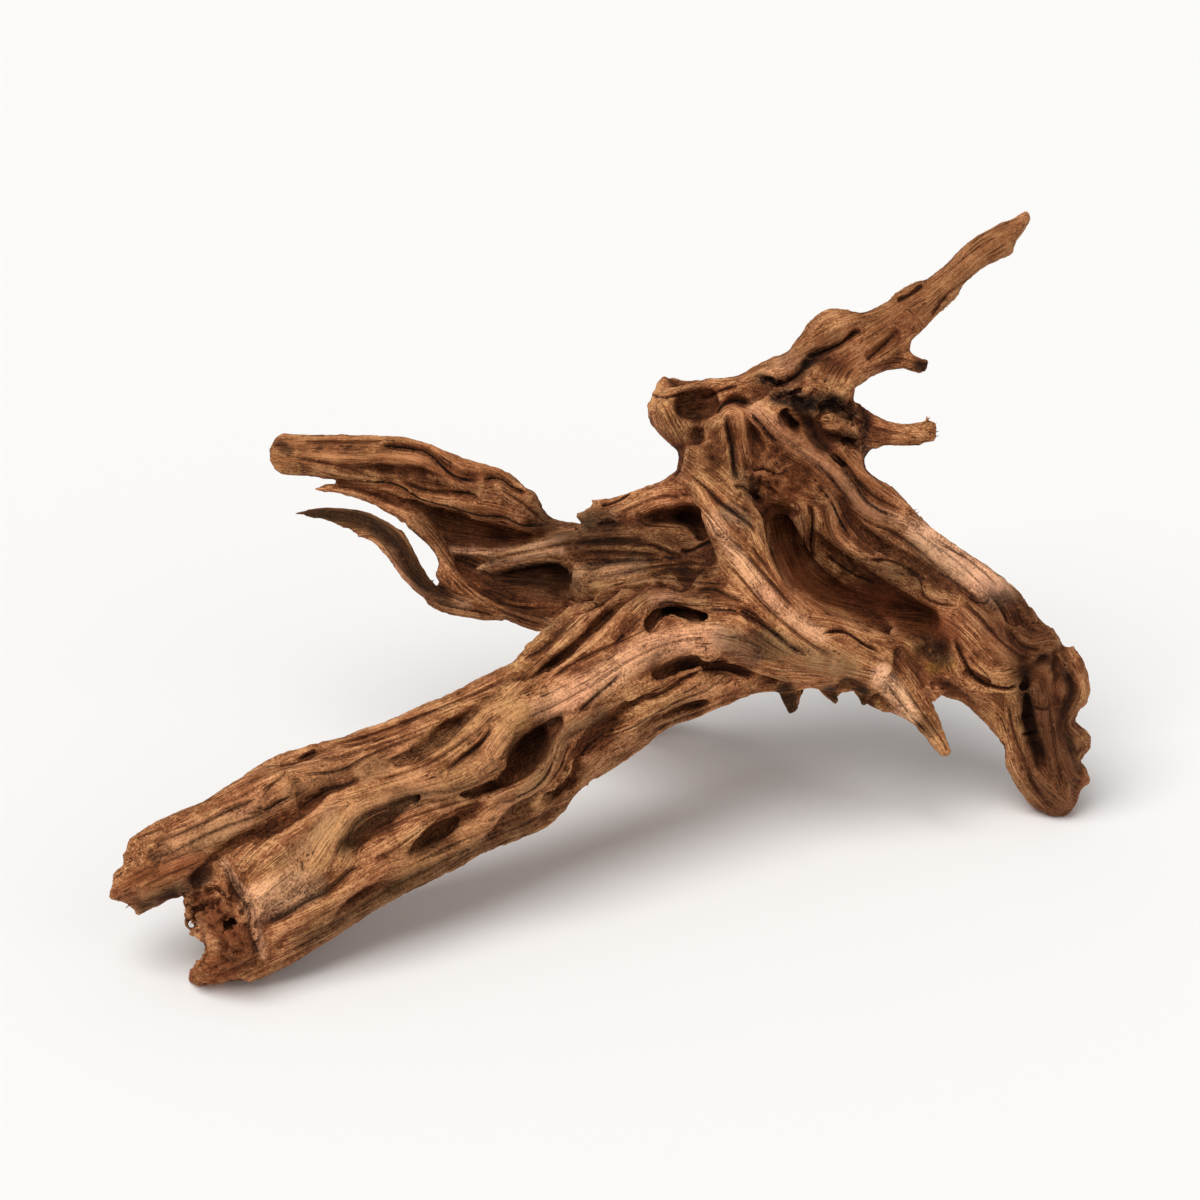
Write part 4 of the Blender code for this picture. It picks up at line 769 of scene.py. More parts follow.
# Gaps cut right through: nearest and furthest depth in millimetres, and the edge in pixels
GAPS = {
    "slab_under": (-190, -70, [
        (150, 930), (166, 905), (180, 896), (189, 890), (199, 880), (203, 879), (198, 886), (189, 894),
        (184, 900), (182, 906), (186, 916), (176, 930),
    ]),
    "slab_step_1": (-190, -60, [(110, 846), (123, 846), (128, 849), (123, 853), (110, 853)]),
    "slab_step_2": (-190, -60, [(104, 861), (120, 862), (127, 864), (119, 868), (104, 868)]),
    "slab_step_3": (-190, -60, [(118, 930), (128, 911), (134, 905), (135, 908), (132, 917), (134, 930)]),
    "leaf_over": (0, 60, [
        (296, 479), (322, 479), (340, 480), (350, 482), (347, 484), (335, 484), (320, 484), (302, 482),
    ]),
    "blade_hook": (-10, 60, [
        (390, 517), (400, 520), (407, 526), (410, 533), (416, 540), (422, 548), (418, 552), (413, 546),
        (408, 537), (403, 530), (396, 525), (388, 520),
    ]),
    "blade_slit": (-10, 70, [
        (424, 560), (436, 566), (435, 577), (441, 584), (450, 592), (444, 592), (436, 586), (429, 577),
        (421, 564),
    ]),
    "mass_hole": (-190, -70, [(188, 923), (191, 920), (195, 922), (196, 926), (192, 928), (188, 927)]),
    "limb_end_notch": (-10, 60, [(262, 450), (269, 451), (271, 453), (268, 456), (262, 457)]),
    "leg_notch": (-20, 60, [
        (1100, 712), (1086, 712), (1076, 716), (1075, 721), (1086, 722), (1100, 724),
    ]),
    "leg_notch_low": (-20, 60, [
        (1100, 756), (1090, 757), (1080, 760), (1080, 763), (1090, 764), (1100, 766),
    ]),
}

# Calm patches, where the fibres lie flat: strength, radius in pixels, and their line
CALM = (
    (0.75, 30, [(775, 540), (800, 575), (850, 600), (900, 612), (940, 630)]),
    (0.7, 26, [(440, 520), (480, 532), (530, 535)]),
    (0.7, 18, [(500, 578), (540, 580)]),
    (0.6, 20, [(660, 525), (700, 525)]),
    (0.6, 16, [(520, 755), (540, 740)]),
    (0.5, 22, [(760, 650), (800, 662), (850, 672)]),
    (0.5, 16, [(690, 400), (720, 395)]),
    (0.6, 10, [(310, 510), (360, 520), (400, 545), (430, 585)]),
    (0.45, 22, [(850, 350), (900, 320), (950, 288), (1010, 235)]),
)

# Rough patches, broken or charred: height in millimetres, radius in pixels, and their line
ROUGH = (
    (3.2, 16, [(195, 905), (225, 905), (240, 925), (230, 950), (205, 970)]),
    (2.2, 15, [(765, 480), (785, 482), (775, 462)]),
    (2.6, 15, [(785, 395), (820, 400), (845, 415), (850, 438)]),
    (1.6, 10, [(930, 645), (940, 652)]),
    (1.2, 14, [(840, 565), (880, 570), (920, 585)]),
    (1.2, 8, [(915, 430), (930, 428)]),
    (1.2, 9, [(530, 500), (520, 515), (540, 520)]),
    (1.0, 8, [(575, 518), (595, 518), (620, 528)]),
    (1.2, 10, [(1020, 605), (1035, 622)]),
    (1.2, 8, [(920, 366), (926, 368)]),
    (1.0, 8, [(125, 860), (118, 880), (112, 896)]),
    (0.8, 12, [(1050, 800), (1065, 810)]),
)
ROUGH_MM = 4.2
FINE_LUMPS = 2.3
FINE_LUMP_SHARE = 0.7
ROUGH_EVERYWHERE_MM = 0.35
CALM_GAIN = 1.5
CALM_PASSES = 24

# Loose fibres at broken edges: how many, the line of their roots, their way in pixels, and their length
FIBRES = (
    (26, [(221, 866), (232, 885), (245, 903), (250, 925), (256, 948)], (-1.0, 0.45), 4.5),
    (14, [(925, 422), (932, 432), (928, 441)], (0.9, -0.5), 5.0),
    (6, [(922, 420), (928, 420)], (0.1, -1.0), 5.0),
    (12, [(898, 505), (915, 516), (926, 524)], (1.0, 0.55), 8.0),
    (10, [(116, 870), (118, 895), (138, 908)], (-0.8, 0.4), 3.5),
    (14, [(190, 895), (192, 912), (200, 932), (212, 946)], (-1.0, 0.5), 4.0),
    (6, [(578, 516), (576, 548), (580, 572)], (-1.0, 0.05), 4.0),
    (8, [(800, 352), (808, 330), (828, 316)], (-0.7, -0.7), 2.5),
    (6, [(765, 372), (776, 366)], (-0.5, -0.9), 3.5),
    (8, [(1016, 604), (1030, 616), (1050, 636)], (0.9, -0.2), 3.0),
    (6, [(888, 690), (900, 708)], (-0.8, 0.6), 3.5),
)
FIBRE_RADIUS_MM = 0.42
FIBRE_SIDES = 5
FIBRE_ROOT_MM = 1.5
FIBRE_SPREAD = 0.45
FIBRE_STRAY_PX = 1.5
FIBRE_RINGS = (0.3, 0.7)
FIBRE_TAPER = 0.8
FIBRE_BEND = 0.25
SHORTEST_FIBRE = 0.4
SEED = 7

# How dark and deep the cracks are along the drawn lines and round the limbs, and how dark the painted
# shadow under the ledges is
DARKEST_GROOVE_MM = 2.6
DARKEST_LEDGE_MM = 3.5
ROUND_CRACKS = (0.75, 0.0, 0.5, 0.0, 0.95, 0.0, 0.3)
CRACK_DEPTH_MM = 0.6
CRACK_WIDTH_MM = 0.9

# Working sizes of the functions below
LINE_PIECES = 4
TAPER_SHARE = 0.16
UNDERCUT_SHARE = 0.3
LEDGE_LEAN = 0.8
FACING_LEAST = 0.02
FACING_FULL = 0.4
LINE_REACH = 3
RIDGE_REACH = 2.5
SEEN_SLACK_M = 0.0012
SKIN_M = 0.0003
MOST_ROOM_MM = 30.0
MOST_LIMB_M = 0.06
GRAIN_JUMP_M = 0.008
GRAIN_OFFSET_M = 0.37
GOLDEN_SHARE = 0.618
GOLDEN_ANGLE = 2.39996
FEWEST_SAMPLES = 4
NEAR_SAMPLES = 14
SAMPLE_SHIFTS = 3
WAY_WINDOW = 2
OUT_WINDOW = 3
FAR_MM = 20.0
CREST_SCALES = ((4, 0.5), (30, 1.6), (150, 4.0))
SKY_RAYS = 14
SKY_REACH_MM = 22.0
SKY_NEAR_WALL = 0.6
CRACK_CORE_MM = 0.15
LEDGE_TOP_MM = -0.3
LEDGE_EDGE_MM = 0.2
SHEEN_SPREAD = 0.08
CHECK_WIDER = 1.6
CHECK_LONGER = 2
BAND_WIDER = 7
BAND_LONGER = 4
NOISE_ROUGHNESS = 0.55
PATCH_CORE = 0.5
PATCH_REACH = 1.6
JOIN_M = 1e-6
TINY = 1e-9
LEAST_STAIN = 1e-6
VISIBLE_PASSES = 3
NORMAL_PASSES = 6
NOTED_PASSES = 2
NEARLY_SIDEWAYS = 0.8
WIDE_RIDGE_MM = 2.6
FEWEST_FACES = 50000
KEY_PLACE_M = (-0.7, -0.8, 2.0)
KEY_SPREAD_DEG = 45.0
FILL_PLACE_M = (1.2, -1.6, 0.9)
FILL_SPREAD_DEG = 60.0


def place(across_px, down_px, depth_mm):
    """The point seen at that pixel, that far behind the middle of the piece."""
    spread = MM_PER_PIXEL * (1 + depth_mm / VIEW_DISTANCE_MM)
    across = (across_px - VIEW_MIDDLE_PX) * spread
    up = (VIEW_MIDDLE_PX - down_px) * spread
    return VIEW_MIDDLE_M + (RIGHT * across + UP * up + AWAY * depth_mm) * MM


def seen_pixels(points):
    """Where points show in the reference view, in pixels across and down."""
    relative = (points - VIEW_MIDDLE_M) / MM
    spread = MM_PER_PIXEL * (1 + relative @ AWAY / VIEW_DISTANCE_MM)
    across, up = relative @ RIGHT / spread, relative @ UP / spread
    return np.column_stack((VIEW_MIDDLE_PX + across, VIEW_MIDDLE_PX - up))


def drawn_through(line, pieces):
    """A smooth path through the points of a line, with that many pieces to each stretch."""
    ends = np.array([line[0], *line, line[-1]], float)
    path = []
    for before, start, end, after in zip(ends, ends[1:], ends[2:], ends[3:]):
        for t in np.arange(pieces) / pieces:
            path.append(0.5 * (
                2 * start + (end - before) * t + (2 * before - 5 * start + 4 * end - after) * t**2
                + (3 * start - before - 3 * end + after) * t**3
            ))
    return np.array([*path, ends[-1]])


def evenly(path, step):
    """The same path with its points a step apart."""
    run = np.concatenate(([0.0], np.cumsum(np.linalg.norm(np.diff(path, axis=0), axis=1))))
    wanted = np.linspace(0, run[-1], max(2, int(run[-1] / step) + 1))
    return np.column_stack([np.interp(wanted, run, column) for column in path.T])


def smooth_step(value):
    share = np.clip(value, 0.0, 1.0)
    return share * share * (3 - 2 * share)


def unit(vectors):
    return vectors / np.maximum(np.linalg.norm(vectors, axis=-1, keepdims=True), TINY)


def points_of(wood):
    found = np.empty(len(wood.data.vertices) * 3, np.float32)
    wood.data.vertices.foreach_get("co", found)
    return found.reshape(-1, 3).astype(float)


def normals_of(wood):
    found = np.empty(len(wood.data.vertices) * 3, np.float32)
    wood.data.vertex_normals.foreach_get("vector", found)
    return found.reshape(-1, 3).astype(float)


def edges_of(wood):
    found = np.empty(len(wood.data.edges) * 2, np.int32)
    wood.data.edges.foreach_get("vertices", found)
    return found.reshape(-1, 2)


def move_points(wood, points):
    wood.data.vertices.foreach_set("co", points.astype(np.float32).ravel())
    wood.data.update()


def relaxed(values, edges, passes):
    """Values at the points, each drawn towards its neighbours' mean."""
    values = values.reshape(len(values), -1)
    first, second = np.concatenate((edges, edges[:, ::-1])).T
    count = np.maximum(np.bincount(first, minlength=len(values)), 1)
    for _ in range(passes):
        mean = [np.bincount(first, values[second, k], len(values)) / count for k in range(values.shape[1])]
        values = 0.5 * (values + np.column_stack(mean))
    return values


def surface_tree(wood):
    """The wood's surface, ready for rays."""
    points = [v.co for v in wood.data.vertices]
    return BVHTree.FromPolygons(points, [tuple(p.vertices) for p in wood.data.polygons])


def shown(points, normals, tree):
    """1 where the reference view shows a point that faces it, and 0 elsewhere."""
    eye = Vector(EYE)
    found = np.zeros(len(points))
    facing = (unit(EYE - points) * normals).sum(1)
    for i in np.flatnonzero(facing > FACING_LEAST):
        way = Vector(points[i]) - eye
        distance = tree.ray_cast(eye, way.normalized())[3]
        found[i] = distance is not None and distance > way.length - SEEN_SLACK_M
    return found


def room_inside(points, normals, tree):
    """How thick the wood is under each point, in millimetres."""
    found = np.full(len(points), MOST_ROOM_MM)
    for i, (point, normal) in enumerate(zip(points, normals)):
        inward = Vector(-normal)
        distance = tree.ray_cast(Vector(point) + inward * SKIN_M, inward, MOST_ROOM_MM * MM)[3]
        if distance is not None:
            found[i] = distance / MM
    return found


def near_line(pixels, line, reach_px):
    """The points within reach of a line in the view: which, how far, on which side, and how far along.

    The side is 1 on the left of the way that the line runs and -1 on its right.
    """
    path = drawn_through(line, LINE_PIECES)
    near = np.flatnonzero(((pixels > path.min(0) - reach_px) & (pixels < path.max(0) + reach_px)).all(1))
    here = pixels[near]
    gap = np.full(len(near), np.inf)
    side, along = np.zeros(len(near)), np.zeros(len(near))
    across = np.zeros((len(near), 2))
    for k, (start, step) in enumerate(zip(path, np.diff(path, axis=0))):
        length = max(step @ step, TINY)
        share = np.clip((here - start) @ step / length, 0, 1)
        away = here - start - share[:, None] * step
        distance = np.hypot(*away.T)
        closer = distance < gap
        gap[closer] = distance[closer]
        side[closer] = np.sign(step[1] * away[closer, 0] - step[0] * away[closer, 1])
        along[closer] = (k + share[closer]) / (len(path) - 1)
        across[closer] = np.array((step[1], -step[0])) / math.sqrt(length)
    kept = gap < reach_px
    return near[kept], gap[kept], side[kept], along[kept], across[kept]


def depth_inside(pixels, edge):
    """Which points lie inside an edge drawn in the view, and how far from it, in pixels."""
    path = np.array(edge, float)
    near = np.flatnonzero(((pixels > path.min(0)) & (pixels < path.max(0))).all(1))
    here = pixels[near]
    inside = np.zeros(len(near), bool)
    gap = np.full(len(near), np.inf)
    for start, end in zip(path, np.roll(path, -1, axis=0)):
        step = end - start
        crosses = (start[1] > here[:, 1]) != (end[1] > here[:, 1])
        rise = step[1] if step[1] else TINY
        inside ^= crosses & (here[:, 0] < start[0] + (here[:, 1] - start[1]) * step[0] / rise)
        share = np.clip((here - start) @ step / max(step @ step, TINY), 0, 1)
        gap = np.minimum(gap, np.hypot(*(here - start - share[:, None] * step).T))
    return near[inside], gap[inside]


def tapered(along):
    """1 in the middle of a line, falling to 0 at its two ends."""
    return smooth_step(np.minimum(along, 1 - along) / TAPER_SHARE)


def sunk_depths(pixels, hollows, ledges, grooves):
    """How deep each point is pressed in, in millimetres, and which way the pressing leans."""
    deep = np.zeros(len(pixels))
    lean = np.zeros((len(pixels), 3))
    for depth, wall, edge in hollows:
        which, gap = depth_inside(pixels, edge)
        sunk = depth * smooth_step(gap * MM_PER_PIXEL / wall)
        lean[which] = np.where((sunk > deep[which])[:, None], UP * LEAN, lean[which])
        deep[which] = np.maximum(deep[which], sunk)
    for depth, reach, line in ledges:
        which, gap, side, along, across = near_line(pixels, line, LINE_REACH * reach / MM_PER_PIXEL)
        distance = gap * MM_PER_PIXEL / reach
        fall = np.where(side < 0, np.exp(-distance**2), np.exp(-(distance / UNDERCUT_SHARE) ** 2))
        sunk = depth * tapered(along) * fall
        under = across[:, :1] * RIGHT - across[:, 1:] * UP
        lean[which] = np.where((sunk > deep[which])[:, None], under * LEDGE_LEAN, lean[which])
        deep[which] = np.maximum(deep[which], sunk)
    for depth, half_width, line in grooves:
        which, gap, _, along, _ = near_line(pixels, line, LINE_REACH * half_width / MM_PER_PIXEL)
        sunk = depth * tapered(along) * np.exp(-((gap * MM_PER_PIXEL / half_width) ** 2))
        deep[which] = np.maximum(deep[which], sunk)
    return deep, lean


def raised_heights(pixels, ridges):
    """How far the ridges raise each point, in millimetres."""
    proud = np.zeros(len(pixels))
    for height, half_width, line in ridges:
        which, gap, _, along, _ = near_line(pixels, line, RIDGE_REACH * half_width / MM_PER_PIXEL)
        raised = height * tapered(along) * np.exp(-((gap * MM_PER_PIXEL / half_width) ** 2))
        proud[which] = np.maximum(proud[which], raised)
    return proud


def pressed(points, normals, edges, tree, hollows, ledges, grooves, ridges):
    """The points after the hollows, ledges, grooves and ridges are pressed into the visible side."""
    pixels = seen_pixels(points)
    visible = relaxed(shown(points, normals, tree), edges, VISIBLE_PASSES)[:, 0]
    facing = smooth_step((unit(EYE - points) * normals).sum(1) / FACING_FULL)
    deep, lean = sunk_depths(pixels, hollows, ledges, grooves)
    proud = raised_heights(pixels, ridges)
    room = room_inside(points, normals, tree) * THINNEST_SHARE
    outward = unit(normals - AWAY)
    inward = unit(AWAY + lean) * np.minimum(deep, room)[:, None]
    moves = (outward * proud[:, None] + inward) * (visible * facing)[:, None]
    return points + moves * MM


def lifted_lines(tree):
    """The view's grain lines laid on the wood: lists of (point, outward direction, crack, ledge)."""
    eye = Vector(EYE)
    lines = []
    drawn = [(line, 0.0, 0.0) for line in [*GRAIN.values(), *(line for _, _, line in RIDGES.values())]]
    drawn += [(line, depth / DARKEST_GROOVE_MM, 0.0) for depth, _, line in GROOVES.values()]
    # Ledges bring painted shadow on the wood below them, darker for deeper ledges
    drawn += [(line, 0.0, depth / DARKEST_LEDGE_MM) for depth, _, line in LEDGES.values()]
    for line, crack, ledge_shadow in drawn:
        found = []
        path = evenly(drawn_through(line, LINE_PIECES), GRAIN_STEP_M / (MM_PER_PIXEL * MM))
        for (across, down), share in zip(path, tapered(np.linspace(0, 1, len(path)))):
            way = Vector(place(across, down, 0)) - eye
            point, normal, _, _ = tree.ray_cast(eye, way.normalized())
            if found and (point is None or (point - found[-1][0]).length > GRAIN_JUMP_M):
                lines.append(found)
                found = []
            if point is not None:
                found.append((point, normal, crack * share, ledge_shadow * share))
        lines.append(found)
    return lines


def lines_round(limb, tree):
    """Grain lines that wander along a limb, all the way round it."""
    centres = evenly(np.array([place(*p) for p in drawn_through(limb, LINE_PIECES)]), 2 * GRAIN_STEP_M)
    along = unit(np.gradient(centres, axis=0))
    side = unit(np.cross(along, AWAY))
    front = np.cross(side, along)
    run = np.arange(len(centres)) * 2 * GRAIN_STEP_M
    lines = []
    share = tapered(np.linspace(0, 1, len(centres)))
    for k in range(ROUND_LINES):
        crack = ROUND_CRACKS[k % len(ROUND_CRACKS)] * share
        wave = ROUND_WAVE_M * (1 + GOLDEN_SHARE * k % 1)
        sway = np.sin(2 * math.pi * (run / wave + GOLDEN_SHARE * k))
        turns = 2 * math.pi * k / ROUND_LINES + math.radians(ROUND_SWAY_DEG) * sway
        found = []
        for centre, turn, across, ahead, dark in zip(centres, turns, side, front, crack):
            way = Vector(across * math.cos(turn) + ahead * math.sin(turn))
            point, normal, _, _ = tree.ray_cast(Vector(centre), way, MOST_LIMB_M)
            if found and (point is None or (point - found[-1][0]).length > GRAIN_JUMP_M):
                lines.append(found)
                found = []
            if point is not None:
                found.append((point, normal, dark, 0.0))
        lines.append(found)
    return lines


def window_mean(values, reach):
    """The mean of each value and its neighbours in the list, up to that many places away."""
    return np.array([values[max(i - reach, 0):i + reach + 1].mean(0) for i in range(len(values))])


class Grain:
    """Grain lines all over the wood, and where points lie across, under and along the nearest."""

    def __init__(self, tree):
        front = [line for line in lifted_lines(tree) if len(line) >= FEWEST_SAMPLES]
        lines = front + self.lines_behind(front, tree)
        self.line = np.concatenate([np.full(len(line), k) for k, line in enumerate(lines)])
        self.point = np.array([sample[0] for line in lines for sample in line])
        # cut holds each sample's crack darkness and its painted ledge shadow
        self.cut = np.array([(*sample[2:], 0.0) for line in lines for sample in line])
        along, out, run = [], [], []
        for k, line in enumerate(lines):
            places = np.array([sample[0] for sample in line])
            ways = unit(window_mean(np.gradient(places, axis=0), WAY_WINDOW))
            outs = window_mean(np.array([sample[1] for sample in line]), OUT_WINDOW)
            outs = unit(outs - (outs * ways).sum(1)[:, None] * ways)
            lengths = np.linalg.norm(np.diff(places, axis=0), axis=1)
            along.append(ways)
            out.append(outs)
            run.append(np.concatenate(([0.0], np.cumsum(lengths))) + GRAIN_OFFSET_M * k)
        self.along = np.concatenate(along)
        self.out = np.concatenate(out)
        self.run = np.concatenate(run)
        self.across = np.cross(self.along, self.out)
        self.tree = self.finder(self.point)

    def lines_behind(self, front, tree):
        """The grain lines round the limbs, clear of those that the view shows."""
        nearby = self.finder([sample[0] for line in front for sample in line])
        back = []
        for limb in LIMBS.values():
            for line in lines_round(limb, tree):
                kept = []
                for sample in line:
                    if nearby.find(sample[0])[2] > CLEAR_OF_FRONT_M:
                        kept.append(sample)
                    elif kept:
                        back.append(kept)
                        kept = []
                back.append(kept)
        return [line for line in back if len(line) >= FEWEST_SAMPLES]

    @staticmethod
    def finder(points):
        tree = KDTree(len(points))
        for i, point in enumerate(points):
            tree.insert(point, i)
        tree.balance()
        return tree

    def nearest(self, points):
        """For each point: the nearest sample, and how much further the next line is, in millimetres."""
        which = np.zeros(len(points), int)
        lead = np.full(len(points), FAR_MM)
        for i, point in enumerate(points):
            found = self.tree.find_n(point, NEAR_SAMPLES)
            which[i] = found[0][1]
            for _, sample, distance in found:
                if self.line[sample] != self.line[which[i]]:
                    lead[i] = (distance - found[0][2]) / MM
                    break
        return which, lead

    def laid(self, points, which):
        """The points' places across, under and along the line of their samples, in millimetres."""
        best = np.full(len(points), np.inf)
        chosen = which.copy()
        for shift in range(-SAMPLE_SHIFTS, SAMPLE_SHIFTS + 1):
            other = np.clip(which + shift, 0, len(self.point) - 1)
            gap = np.linalg.norm(points - self.point[other], axis=1)
            better = (self.line[other] == self.line[which]) & (gap < best)
            best[better] = gap[better]
            chosen[better] = other[better]
        offset = points - self.point[chosen]
        return np.column_stack((
            (offset * self.across[chosen]).sum(1),
            (offset * self.out[chosen]).sum(1),
            self.run[chosen] + (offset * self.along[chosen]).sum(1),
        )) / MM


def strands(laid, width_mm, length_mm):
    """Noise drawn out along the grain, at points laid across, under and along it."""
    scaled = laid / (width_mm, width_mm, length_mm)
    return np.array([noise.noise(Vector(p)) for p in scaled])


def joined_copy(node):
    """A copy of a CAD node's mesh with its loose triangles joined."""
    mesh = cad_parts[node].data.copy()
    mesh.materials.clear()
    wood = bpy.data.objects.new("driftwood_wood", mesh)
    bpy.context.scene.collection.objects.link(wood)
    bpy.ops.object.select_all(action="DESELECT")
    bpy.context.view_layer.objects.active = wood
    wood.select_set(True)
    bpy.ops.object.mode_set(mode="EDIT")
    bpy.ops.mesh.select_all(action="SELECT")
    bpy.ops.mesh.remove_doubles(threshold=JOIN_M)
    bpy.ops.object.mode_set(mode="OBJECT")
    return wood


def add_sticks(wood):
    """Adds the splinters, teeth and knobs to the wood's mesh, to grow together with it."""
    shape = bmesh.new()
    shape.from_mesh(wood.data)
    for line in STICKS.values():
        path = drawn_through(line, LINE_PIECES)
        centres = np.array([place(*point) for point in path[:, :3]])
        along = unit(np.gradient(centres, axis=0))
        side = unit(np.cross(along, AWAY))
        front = np.cross(side, along)
        rings = []
        for centre, across, ahead, radius in zip(centres, side, front, path[:, 3]):
            ring = []
            for k in range(STICK_SIDES):
                turn = 2 * math.pi * k / STICK_SIDES
                way = across * math.cos(turn) + ahead * math.sin(turn)
                rim = Vector(centre + way * radius * MM)
                uneven = 1 + STICK_WOBBLE * noise.noise(rim / (STICK_LUMP_MM * MM))
                ring.append(shape.verts.new(centre + way * radius * uneven * MM))
            rings.append(ring)
        for ring, following in zip(rings, rings[1:]):
            for k in range(STICK_SIDES):
                after = (k + 1) % STICK_SIDES
                shape.faces.new((ring[k], ring[after], following[after], following[k]))
        shape.faces.new(rings[0][::-1])
        shape.faces.new(rings[-1])
    bmesh.ops.recalc_face_normals(shape, faces=shape.faces)
    shape.to_mesh(wood.data)
    shape.free()


def add_spike(shape, root, way, bending, reach):
    """Adds one fibre that bends sideways and ends in a point."""
    side = unit(np.cross(way, AWAY))
    bend = side * bending
    front = np.cross(side, way)
    turns = 2 * np.pi * np.arange(FIBRE_SIDES) / FIBRE_SIDES
    rings = []
    for share in (-FIBRE_ROOT_MM * MM / reach, *FIBRE_RINGS):
        centre = root + (way + bend * share) * share * reach
        radius = FIBRE_RADIUS_MM * MM * (1 - max(share, 0) * FIBRE_TAPER)
        rings.append([
            shape.verts.new(centre + radius * (side * math.cos(turn) + front * math.sin(turn)))
            for turn in turns
        ])
    tip = shape.verts.new(root + (way + bend) * reach)
    shape.faces.new(rings[0])
    for k in range(FIBRE_SIDES):
        after = (k + 1) % FIBRE_SIDES
        for ring, following in zip(rings, rings[1:]):
            shape.faces.new((ring[after], ring[k], following[k], following[after]))
        shape.faces.new((rings[-1][after], rings[-1][k], tip))


def add_fibres(wood):
    """Adds the loose fibres, each a bent spike whose root lies in the wood."""
    tree = surface_tree(wood)
    chance = np.random.default_rng(SEED)
    eye = Vector(EYE)
    shape = bmesh.new()
    shape.from_mesh(wood.data)
    for count, roots, (across, down), length in FIBRES:
        path = evenly(drawn_through(roots, LINE_PIECES), 1.0)
        for _ in range(count):
            root = path[chance.integers(len(path))] + chance.normal(0, FIBRE_STRAY_PX, 2)
            reach = length * chance.uniform(SHORTEST_FIBRE, 1.0) * MM
            stray = chance.normal(0, FIBRE_SPREAD, 3)
            point = tree.ray_cast(eye, (Vector(place(*root, 0)) - eye).normalized())[0]
            if point is None:
                continue
            way = unit(RIGHT * (across + stray[0]) - UP * (down + stray[1]) + AWAY * stray[2])
            add_spike(shape, np.array(point), way, chance.normal(0, FIBRE_BEND), reach)
    bmesh.ops.triangulate(shape, faces=[face for face in shape.faces if len(face.verts) > 3])
    shape.to_mesh(wood.data)
    shape.free()


def cut_gaps(wood):
    """Cuts the gaps through the wood."""
    shape = bmesh.new()
    for near, far, edge in GAPS.values():
        rings = [[shape.verts.new(place(*point, depth)) for point in edge] for depth in (near, far)]
        shape.faces.new(rings[0])
        shape.faces.new(rings[1][::-1])
        for k in range(len(edge)):
            after = (k + 1) % len(edge)
            shape.faces.new((rings[0][k], rings[1][k], rings[1][after], rings[0][after]))
    bmesh.ops.recalc_face_normals(shape, faces=shape.faces)
    mesh = bpy.data.meshes.new("gaps")
    shape.to_mesh(mesh)
    shape.free()
    cutter = bpy.data.objects.new("gaps", mesh)
    bpy.context.scene.collection.objects.link(cutter)
    gaps = wood.modifiers.new("Gaps", "BOOLEAN")
    gaps.operation = "DIFFERENCE"
    gaps.solver = "EXACT"
    gaps.object = cutter
    apply_modifiers(wood)
    bpy.data.objects.remove(cutter)


def apply_modifiers(wood):
    bpy.context.view_layer.objects.active = wood
    for modifier in list(wood.modifiers):
        bpy.ops.object.modifier_apply(modifier=modifier.name)


def regrown(wood, voxel):
    """Gives the wood an even mesh."""
    remesh = wood.modifiers.new("Even mesh", "REMESH")
    remesh.mode = "VOXEL"
    remesh.voxel_size = voxel
    apply_modifiers(wood)


def soften(wood, passes):
    smooth = wood.modifiers.new("Worn soft", "SMOOTH")
    smooth.factor = 0.5
    smooth.iterations = passes
    apply_modifiers(wood)


def thin_mesh(wood, triangles):
    faces = sum(len(p.vertices) - 2 for p in wood.data.polygons)
    thin = wood.modifiers.new("Fewer faces", "DECIMATE")
    thin.ratio = min(1.0, triangles / faces)
    thin.use_collapse_triangulate = True
    apply_modifiers(wood)


def drop_crumbs(wood):
    """Keeps the largest body of the mesh."""
    edges = edges_of(wood)
    label = np.arange(len(wood.data.vertices))
    while True:
        lowest = label.copy()
        np.minimum.at(lowest, edges[:, 0], label[edges[:, 1]])
        np.minimum.at(lowest, edges[:, 1], label[edges[:, 0]])
        lowest = lowest[lowest]
        if (lowest == label).all():
            break
        label = lowest
    largest = np.bincount(label).argmax()
    wood.data.vertices.foreach_set("select", label != largest)
    bpy.ops.object.mode_set(mode="EDIT")
    bpy.ops.mesh.delete(type="VERT")
    bpy.ops.object.mode_set(mode="OBJECT")


def patch_share(pixels, visible, line, radius_px):
    """How much of a patch painted along a line lies on each point."""
    share = np.zeros(len(pixels))
    which, gap, _, _, _ = near_line(pixels, line, PATCH_REACH * radius_px)
    share[which] = 1 - smooth_step((gap / radius_px - PATCH_CORE) / (PATCH_REACH - PATCH_CORE))
    return share * visible


def in_patches(wood, patches):
    """The strongest patch at each point of the wood."""
    points, edges = points_of(wood), edges_of(wood)
    seen = shown(points, normals_of(wood), surface_tree(wood))
    visible = relaxed(seen, edges, VISIBLE_PASSES)[:, 0]
    pixels = seen_pixels(points)
    found = np.zeros(len(points))
    for strength, radius, line in patches:
        found = np.maximum(found, strength * patch_share(pixels, visible, line, radius))
    return found


def calm_down(wood):
    """Smooths the wood in the calm patches."""
    points = points_of(wood)
    share = np.minimum(in_patches(wood, CALM) * CALM_GAIN, 1)[:, None]
    move_points(wood, points + share * (relaxed(points, edges_of(wood), CALM_PASSES) - points))


def carve_front(wood, hollows, ledges, grooves, ridges):
    points, normals, edges = points_of(wood), normals_of(wood), edges_of(wood)
    smooth_normals = unit(relaxed(normals, edges, NORMAL_PASSES))
    moved = pressed(points, smooth_normals, edges, surface_tree(wood), hollows, ledges, grooves, ridges)
    move_points(wood, moved)


